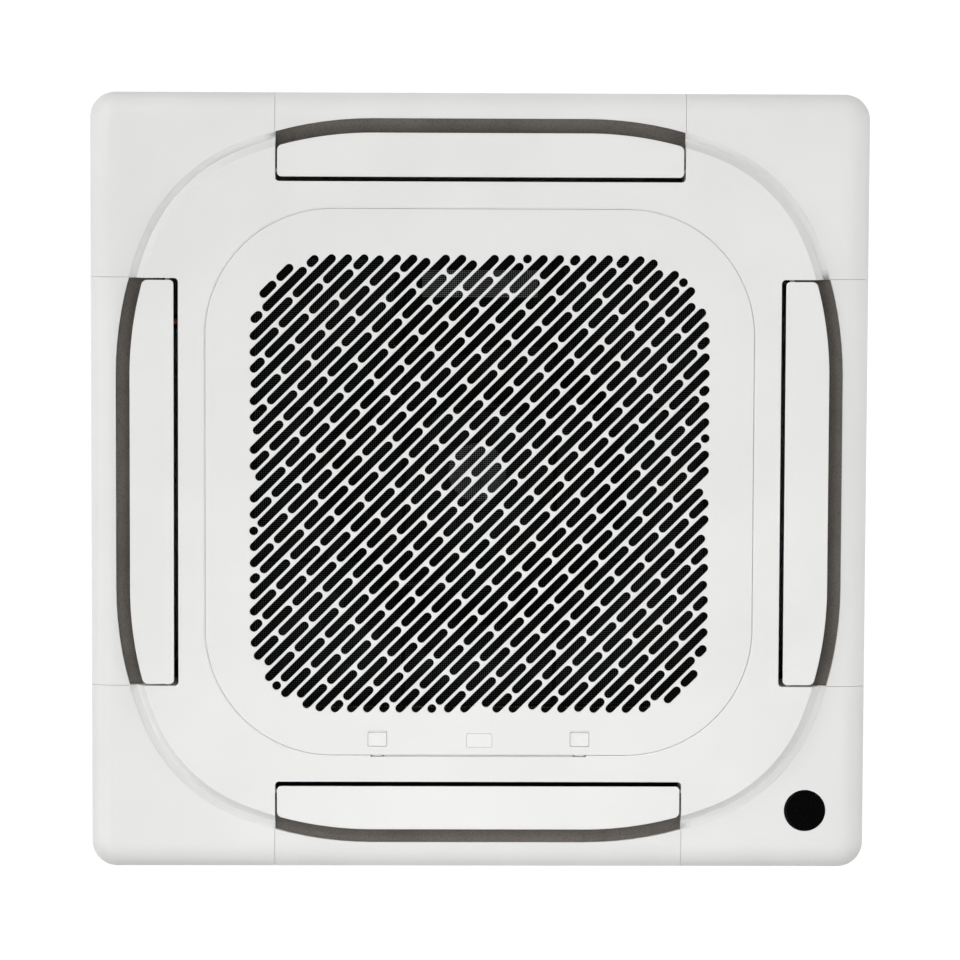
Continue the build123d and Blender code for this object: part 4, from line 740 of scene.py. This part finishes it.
def slot_loops(grow):
    """Outlines of all slots, (slots, 16, 2): two half circles about the ends of each centre line."""
    across, start, end = slot_lines()
    radius = SLOT_WIDTH / 2 + grow
    a = np.linspace(-np.pi / 2, np.pi / 2, 8)
    along = np.concatenate(
        [end[:, None] + radius * np.cos(a)[None, :], start[:, None] - radius * np.cos(a)[None, :]], axis=1
    )
    side = np.concatenate([radius * np.sin(a), -radius * np.sin(a)])[None, :]
    u = across[:, None] + side
    return np.stack([(u + along) / np.sqrt(2), (u - along) / np.sqrt(2) + LATTICE_SHIFT], axis=-1)


def latch_loop(at, grow):
    """Outline of the opening that a latch pad slides in."""
    low = LATCH_Y - LATCH_DEEP / 2 - LATCH_TRAVEL - LATCH_PLAY - grow
    high = LATCH_Y + LATCH_DEEP / 2 + LATCH_PLAY + grow
    return rounded_box(at, (low + high) / 2, LATCH_WIDE + 2 * LATCH_PLAY + 2 * grow, high - low, 1.5 + grow)


def plate_loop(grow):
    """Outline of the small bare plate between the latches."""
    return rounded_box(*PLATE_AT, PLATE_WIDE + 2 * grow, PLATE_DEEP + 2 * grow, 1.5 + grow)


def intake_grille():
    """Slotted plate. Its outline and openings are carried through levels: every slot's lip is a quarter circle of
    0.7 mm, those of the latches and of the bare plate are sharper, the plate's own edge is one of 1.2 mm, and the
    front and back skins fill between the loops."""
    lip = 0.7
    sharper = 0.3
    plate_gap = 0.2
    back = FACE_Z + GRILLE_THICK
    levels = []
    for turn in np.radians([0, 45, 90]):
        grow = lip * (1 - np.sin(turn))
        loops = list(slot_loops(grow)) + [latch_loop(at, sharper * grow) for at in (-LATCH_AT, LATCH_AT)]
        loops.append(plate_loop(plate_gap + sharper * grow))
        levels.append([at_height(loop, FACE_Z + lip * (1 - np.cos(turn))) for loop in loops])
    rings = [np.stack([*loops, at_height(loops[-1][:, :2], back)]) for loops in zip(*levels)]
    rim = []
    for turn in np.radians([0, 30, 60, 90]):
        inset = EDGE_ROUND * (1 - np.sin(turn))
        outline = rounded_square(GRILLE_HALF - inset, GRILLE_CORNER - inset, 40)
        rim.append(at_height(outline, FACE_Z + EDGE_ROUND * (1 - np.cos(turn))))
    rings.insert(0, np.stack([*rim, at_height(rim[-1][:, :2], back)]))
    # walls of the openings and of the plate's edge
    faces = []
    starts = np.cumsum([0] + [ring.shape[0] * ring.shape[1] for ring in rings])
    for ring, start in zip(rings, starts):
        count, around = ring.shape[:2]
        rows = np.arange(count - 1)[:, None] * around
        columns = np.arange(around)[None, :]
        beside = (columns + 1) % around
        quads = np.stack([rows + columns, rows + beside, rows + around + beside, rows + around + columns], axis=-1)
        faces.extend((quads.reshape(-1, 4) + start).tolist())
    # front skin between the first loops, back skin between the last ones
    for which in (0, -1):
        loops = [[Vector((x, y, 0)) for x, y in ring[which, :, :2]] for ring in rings]
        first = [start + (len(ring) - 1) * ring.shape[1] * (which != 0) for ring, start in zip(rings, starts)]
        index = np.concatenate([begin + np.arange(ring.shape[1]) for ring, begin in zip(rings, first)])
        faces.extend(index[np.array(tessellate_polygon(loops))].tolist())
    plate = (np.concatenate([ring.reshape(-1, 3) for ring in rings]), faces)
    points, faces = joined([plate] + grille_back())
    build_piece("grille_plate", points, faces, "grille", "grille_abs", ("intake_grille",), 50.0)


def turned_up_edge(back):
    """Wall along the plate's edge: four corner arcs, and straight bars that leave openings of 42 mm for the hinge
    shoes and of 16 mm for the latch tongues."""
    run = GRILLE_HALF - GRILLE_CORNER
    turns = np.linspace(0, np.pi / 2, 30)
    arc = np.stack([np.cos(turns), np.sin(turns)], axis=-1)
    outer = run + GRILLE_CORNER * arc
    inner = run + (GRILLE_CORNER - GRILLE_WALL) * arc
    corner, faces = section_solid(
        np.stack(
            [at_height(outer, back), at_height(outer, GRILLE_RIM_Z), at_height(inner, GRILLE_RIM_Z),
             at_height(inner, back)],
            axis=1,
        )
    )
    parts = [(turned(corner, 90 * k), faces) for k in range(4)]
    for turn, at, half in ((90, 0, 0), (-90, 0, 0), (0, LATCH_AT, 8), (180, HINGE_AT, 21)):
        spans = [(-run, -at - half), (-at + half, at - half), (at + half, run)] if at else [(-run, run)]
        for low, high in spans:
            bar, faces = prism(box_outline(low, high, GRILLE_HALF - GRILLE_WALL, GRILLE_HALF), 2, back, GRILLE_RIM_Z)
            parts.append((turned(bar, turn), faces))
    return parts


def grille_back():
    """Turned-up edge, the hinge's arches, 22 mm wide, and the latches' guides, hooks 38 mm long. All of them start
    0.4 mm inside the plate."""
    back = FACE_Z + GRILLE_THICK - 0.4
    parts = turned_up_edge(back)
    arch_inner, arch_outer = 9.08, 11.58
    a = np.radians(np.linspace(12, 168, 25))
    arch = np.stack([np.cos(a), np.sin(a)], axis=-1)
    ring = np.concatenate([arch_inner * arch, arch_outer * arch[::-1]]) + (HINGE_Y, FACE_Z)
    for at in (-HINGE_AT, HINGE_AT):
        parts.append(prism(ring, 0, at - 11, at + 11))
    hook_foot, hook_top = back + 2.5, back + 3.8
    for at in (-LATCH_AT, LATCH_AT):
        for side in (-1, 1):
            guide = at + side * 17
            hook = [
                (guide + side, back), (guide + side, hook_top), (guide - 3 * side, hook_top),
                (guide - 3 * side, hook_foot), (guide - side, hook_foot), (guide - side, back),
            ]
            parts.append(prism(hook, 1, LATCH_Y - 19, LATCH_Y + 19))
    return parts


def latches():
    """Slide latch: pad with softly rounded edges and a shallow finger hollow, a flange of 31 x 31 x 1.5 mm behind
    the plate, and a tongue of 12 x 12 x 3 mm."""
    back = FACE_Z + GRILLE_THICK
    foot = back + 0.3
    for name, at in (("left", -LATCH_AT), ("right", LATCH_AT)):
        hollow = []
        for scale, z in ((0.5, FACE_Z + 0.5), (0.78, FACE_Z + 0.3), (0.86, FACE_Z + 0.02)):
            loop = rounded_box(at, LATCH_Y, LATCH_WIDE * scale, LATCH_DEEP * scale, 2.5 * scale)
            hollow.append(at_height(loop, z))
        edge = []
        for inset, z in ((0.4, FACE_Z), (0.2, FACE_Z + 0.05), (0.05, FACE_Z + 0.2), (0, FACE_Z + 0.4), (0, back + 0.5)):
            loop = rounded_box(at, LATCH_Y, LATCH_WIDE - 2 * inset, LATCH_DEEP - 2 * inset, 2.0 - inset)
            edge.append(at_height(loop, z))
        pad = section_solid(np.stack(hollow + edge))
        flange = prism(box_outline(at - 15.5, at + 15.5, LATCH_Y - 16.5, LATCH_Y + 14.5), 2, foot, foot + 1.5)
        tongue = prism(box_outline(at - 6, at + 6, LATCH_Y + 9, LATCH_Y + 21), 2, foot, foot + 3)
        points, faces = joined([pad, flange, tongue])
        build_piece(
            f"latch_pad_{name}", points, faces, f"latch_{name}", "latch_abs", (f"grille_latch_{name}",), 40.0
        )


def bare_plate():
    """Bare plate let into the grille's face between the latches, its edge a quarter circle of 0.3 mm."""
    levels = [(0.3, FACE_Z + 0.02), (0.1, FACE_Z + 0.1), (0.0, FACE_Z + 0.3), (0.0, FACE_Z + GRILLE_THICK - 0.2)]
    plate = section_solid(np.stack([at_height(plate_loop(-inset), z) for inset, z in levels]))
    build_piece("bare_plate", *plate, "grille", "latch_abs", sharp=40.0)


# ---------------------------------------------------------------- receiver lens and control box
def receiver_lens():
    """Lens turned about its axis: (radius, how far it stands proud of the rim) from the face's slight crown over
    its rounded edge to the back."""
    profile = (
        (0.01, 0.6), (8, 0.59), (16, 0.55), (22, 0.48), (25.0, 0.4), (25.4, 0.2), (WINDOW_R, -0.1), (WINDOW_R, -3),
        (0.01, -3),
    )
    points, faces = lathe([(RIM_Z - proud, radius) for radius, proud in profile], 72)
    upright = points[:, [1, 2, 0]] + (*WINDOW_AT, 0)
    build_piece("receiver_lens", upright, faces, "unit", "lens", ("receiver_window",), 40.0, False)


def control_box_lid():
    """Black lid of the control box with round corners, and the bare plate riveted on for the wiring list. Each
    drop is below the box's foot."""
    lid_wide, lid_deep = 208, 110
    plate_y, plate_wide, plate_deep = BOX_AT - 23, 142, 34
    lid = []
    for inset, drop in ((0.6, 1.5), (0.0, 1.0), (0.0, 0.0)):
        loop = rounded_box(0, BOX_AT, lid_wide - 2 * inset, lid_deep - 2 * inset, 4.0 - inset)
        lid.append(at_height(loop, BOX_FOOT_Z - drop))
    build_piece("box_lid", *section_solid(np.stack(lid)), "unit", "motor_paint", ("control_box_lid",), 40.0)
    plate = []
    for inset, drop in ((0.2, 2.0), (0.0, 1.8), (0.0, 1.4)):
        loop = rounded_box(0, plate_y, plate_wide - 2 * inset, plate_deep - 2 * inset, 2.0)
        plate.append(at_height(loop, BOX_FOOT_Z - drop))
    parts = [section_solid(np.stack(plate))]
    rivet = ((0.8, 3.0), (1.8, 2.7), (2.2, 1.9))
    for y in (plate_y - 13, plate_y + 13):
        for x in (5 - plate_wide / 2, plate_wide / 2 - 5):
            dome = [at_height(circle_outline(x, y, radius, 12), BOX_FOOT_Z - drop) for radius, drop in rivet]
            parts.append(section_solid(np.stack(dome)))
    build_piece("wiring_plate", *joined(parts), "unit", "galvanised", sharp=40.0)


# ---------------------------------------------------------------- cabinet: screws and flare unions
def hex_screw():
    """Washer-faced hexagon head, 8 mm over the washer, that stands out along +X from the origin."""
    washer = lathe([(-0.5, 0.01), (-0.5, 4.0), (0.5, 4.0), (0.9, 3.6), (0.9, 0.01)], 24)
    head = hexagons([(0.6, 2.9), (2.6, 2.9), (3.0, 2.5)])
    return joined([washer, head])


def cabinet_screws():
    """Screws under the top plate's edge, four in each wall, and two in the back plate of every hanging bracket.
    A bracket's plate is 2.5 mm thick and stands on the cabinet's chamfer."""
    wall_screw_z = 134.0
    bracket_screw_z = -52.0
    points, faces = hex_screw()
    parts = []
    for turn in (0, 90, 180, 270):
        for along in (-225, -75, 75, 225):
            parts.append((turned(points + (BODY_HALF, along, wall_screw_z), turn), faces))
    bracket_face = (2 * BODY_HALF - BODY_CHAMFER) / np.sqrt(2) + 2.5
    for along in (-67, -4):
        on_plate = turned(points + (bracket_face, along, bracket_screw_z), 45)
        for signs in ((1, 1, 1), (-1, 1, 1), (1, -1, 1), (-1, -1, 1)):
            parts.append((on_plate * signs, faces))
    build_piece("cabinet_screws", *joined(parts), "unit", "steel", sharp=30.0, weighted=False)


def flare_unions():
    """Hexagon body and threaded nose, from the cabinet's wall out along -X. The thread is drawn as rings 1.5 mm
    apart, and the mouth is a 45 degree flare seat that runs into the bore."""
    tip = -BODY_HALF - 32
    foot = -BODY_HALF - 11
    pitch = 1.5
    depth = 0.8
    tooth = ((0, depth), (0.5, 0), (0.75, 0), (1.25, depth))
    for name, thread, bore, z in (("gas_union", 9.5, 6.9, 20.0), ("liquid_union", 7.9, 4.0, 62.0)):
        root = thread - depth
        seat = thread - 2 * depth
        mouth = [(tip + 14, 0.01), (tip + 14, bore), (tip + seat - bore, bore), (tip, seat)]
        ridge = [(x + step, thread - drop) for x in np.arange(tip + 2, foot - 2.5, pitch) for step, drop in tooth]
        nose = lathe([*mouth, (tip, thread - 1.1), (tip + 0.8, root), *ridge, (foot, root), (foot, 0.01)], 40)
        across = thread * 1.3
        body = hexagons([
            (foot - 1, across - 1), (foot - 0.4, across), (foot + 8.4, across), (foot + 9, across - 1),
        ])
        points, faces = joined([nose, body])
        build_piece(f"{name}_body", points + (0, PIPE_Y, z), faces, "unit", "brass", (name,), 30.0, False)


softened_panel()
corner_covers()
louvers()
intake_grille()
latches()
bare_plate()
receiver_lens()
control_box_lid()
cabinet_screws()
flare_unions()

# ---------------------------------------------------------------- finishes of the CAD nodes that stay
for subpart in frame["record"]["subparts"]:
    node = nodes[subpart["node"]]
    node.data.materials.clear()
    node.data.materials.append(FINISHES[subpart["material_slot"]])


# ---------------------------------------------------------------- floor, light and camera
def floor():
    """Pale floor a metre under the panel. From below it is clear, so the camera under it sees the panel."""
    half, level = 6.0, -1.15
    material, tree, output, place = new_material("pale_floor_paint")
    mottle = add_node(tree, "ShaderNodeTexNoise", {"Scale": 3.0, "Detail": 3.0}, {"Vector": place})
    tone = two_tones(tree, mottle.outputs["Fac"], "#e4e4e2", "#eaeae8")
    paint = add_node(tree, "ShaderNodeBsdfPrincipled", {"Roughness": 0.9}, {"Base Color": tone})
    clear = add_node(tree, "ShaderNodeBsdfTransparent")
    side = add_node(tree, "ShaderNodeNewGeometry").outputs["Backfacing"]
    mixed = add_node(
        tree, "ShaderNodeMixShader", links={0: side, 1: paint.outputs["BSDF"], 2: clear.outputs["BSDF"]}
    )
    tree.links.new(mixed.outputs["Shader"], output.inputs["Surface"])
    mesh = bpy.data.meshes.new("floor")
    corners = at_height(box_outline(-half, half, -half, half), level)
    mesh.from_pydata(corners.tolist(), [], [(0, 1, 2, 3)])
    mesh.materials.append(material)
    ground = bpy.data.objects.new("floor", mesh)
    bpy.context.scene.collection.objects.link(ground)
    ground.visible_shadow = False


def lamp(name, at, towards, size, power):
    """Square soft light at a point, facing another one; metres and watts."""
    light = bpy.data.lights.new(name, "AREA")
    light.shape = "SQUARE"
    light.size = size
    light.energy = power
    holder = bpy.data.objects.new(name, light)
    holder.location = at
    holder.rotation_euler = (Vector(towards) - Vector(at)).to_track_quat("-Z", "Y").to_euler()
    holder.visible_camera = False
    bpy.context.scene.collection.objects.link(holder)


def surroundings():
    """Even white surroundings: pure white behind the object, softer as light."""
    world = bpy.data.worlds.new("studio")
    bpy.context.scene.world = world
    world.use_nodes = True
    tree = world.node_tree
    tree.nodes.clear()
    seen = add_node(tree, "ShaderNodeLightPath").outputs["Is Camera Ray"]
    soft = add_node(tree, "ShaderNodeBackground", {"Color": (1, 1, 1, 1), "Strength": 0.115})
    white = add_node(tree, "ShaderNodeBackground", {"Color": (1, 1, 1, 1), "Strength": 1.05})
    mixed = add_node(
        tree, "ShaderNodeMixShader", links={0: seen, 1: soft.outputs["Background"], 2: white.outputs["Background"]}
    )
    add_node(tree, "ShaderNodeOutputWorld", links={"Surface": mixed.outputs["Shader"]})


def photo_camera():
    """Camera fitted to 36 edges in the photo: 5 m under the panel's face, tilted 4.4 degrees and swung 0.9 degrees
    from straight up, with -Y at the top of the image."""
    camera = bpy.data.cameras.new("photo_camera")
    camera.sensor_width = 36.0
    camera.lens = 153.59
    camera.clip_end = 100.0
    distance = 5.0
    aim = Vector((0.00061, -0.00434, FACE_Z / 1000))
    tilt, swing, roll = np.radians([-4.387, 0.900, -0.157])
    turn = Matrix.Rotation(tilt, 3, "X") @ Matrix.Rotation(swing, 3, "Y") @ Matrix.Rotation(roll, 3, "Z")
    upside_down = Matrix(((1, 0, 0), (0, -1, 0), (0, 0, -1)))
    holder = bpy.data.objects.new("photo_camera", camera)
    holder.location = aim - distance * (turn @ Vector((0, 0, 1)))
    holder.rotation_euler = (turn @ upside_down).to_euler()
    bpy.context.scene.collection.objects.link(holder)
    bpy.context.scene.camera = holder


def lamps():
    """The studio's lamps. Low ones rake over the white faces as the photo's light does, near ones lift single
    corners, and those overhead light the cabinet and the floor."""
    panel = (0, 0, -0.12)
    middle = (0, 0, 0)
    lamp("raking_right", (5.0, 0, -2.0), panel, 1.5, 64.5)
    lamp("raking_left", (-5.0, 0, -2.0), panel, 1.5, 54.5)
    lamp("raking_upper_left", (-3.54, -3.54, -2.0), panel, 1.5, 43.0)
    lamp("raking_lower_left", (-3.54, 3.54, -2.0), panel, 1.5, 16.5)
    lamp("key", (-3.18, -3.18, -4.6), panel, 1.5, 35.5)
    lamp("near_lower", (0, 0.5, -1.1), (0, 0.5, 0), 0.7, 3.1)
    lamp("near_upper_right", (0.42, -0.42, -0.95), (0.42, -0.42, 0), 0.5, 0.42)
    lamp("corner_lower_left", (-1.0, 1.0, -1.6), (-0.2, 0.2, 0), 0.8, 4.3)
    lamp("corner_upper_left", (-1.0, -1.0, -1.6), (-0.2, -0.2, 0), 0.8, 2.5)
    lamp("overhead_right", (2.0, -2.6, 3.2), middle, 2.5, 135)
    lamp("overhead_left", (-3.0, 3.0, 5.0), middle, 3.0, 35)


floor()
surroundings()
lamps()
photo_camera()
bpy.context.scene.view_settings.view_transform = "Standard"
bpy.context.scene.view_settings.look = "None"
bpy.context.view_layer.update()
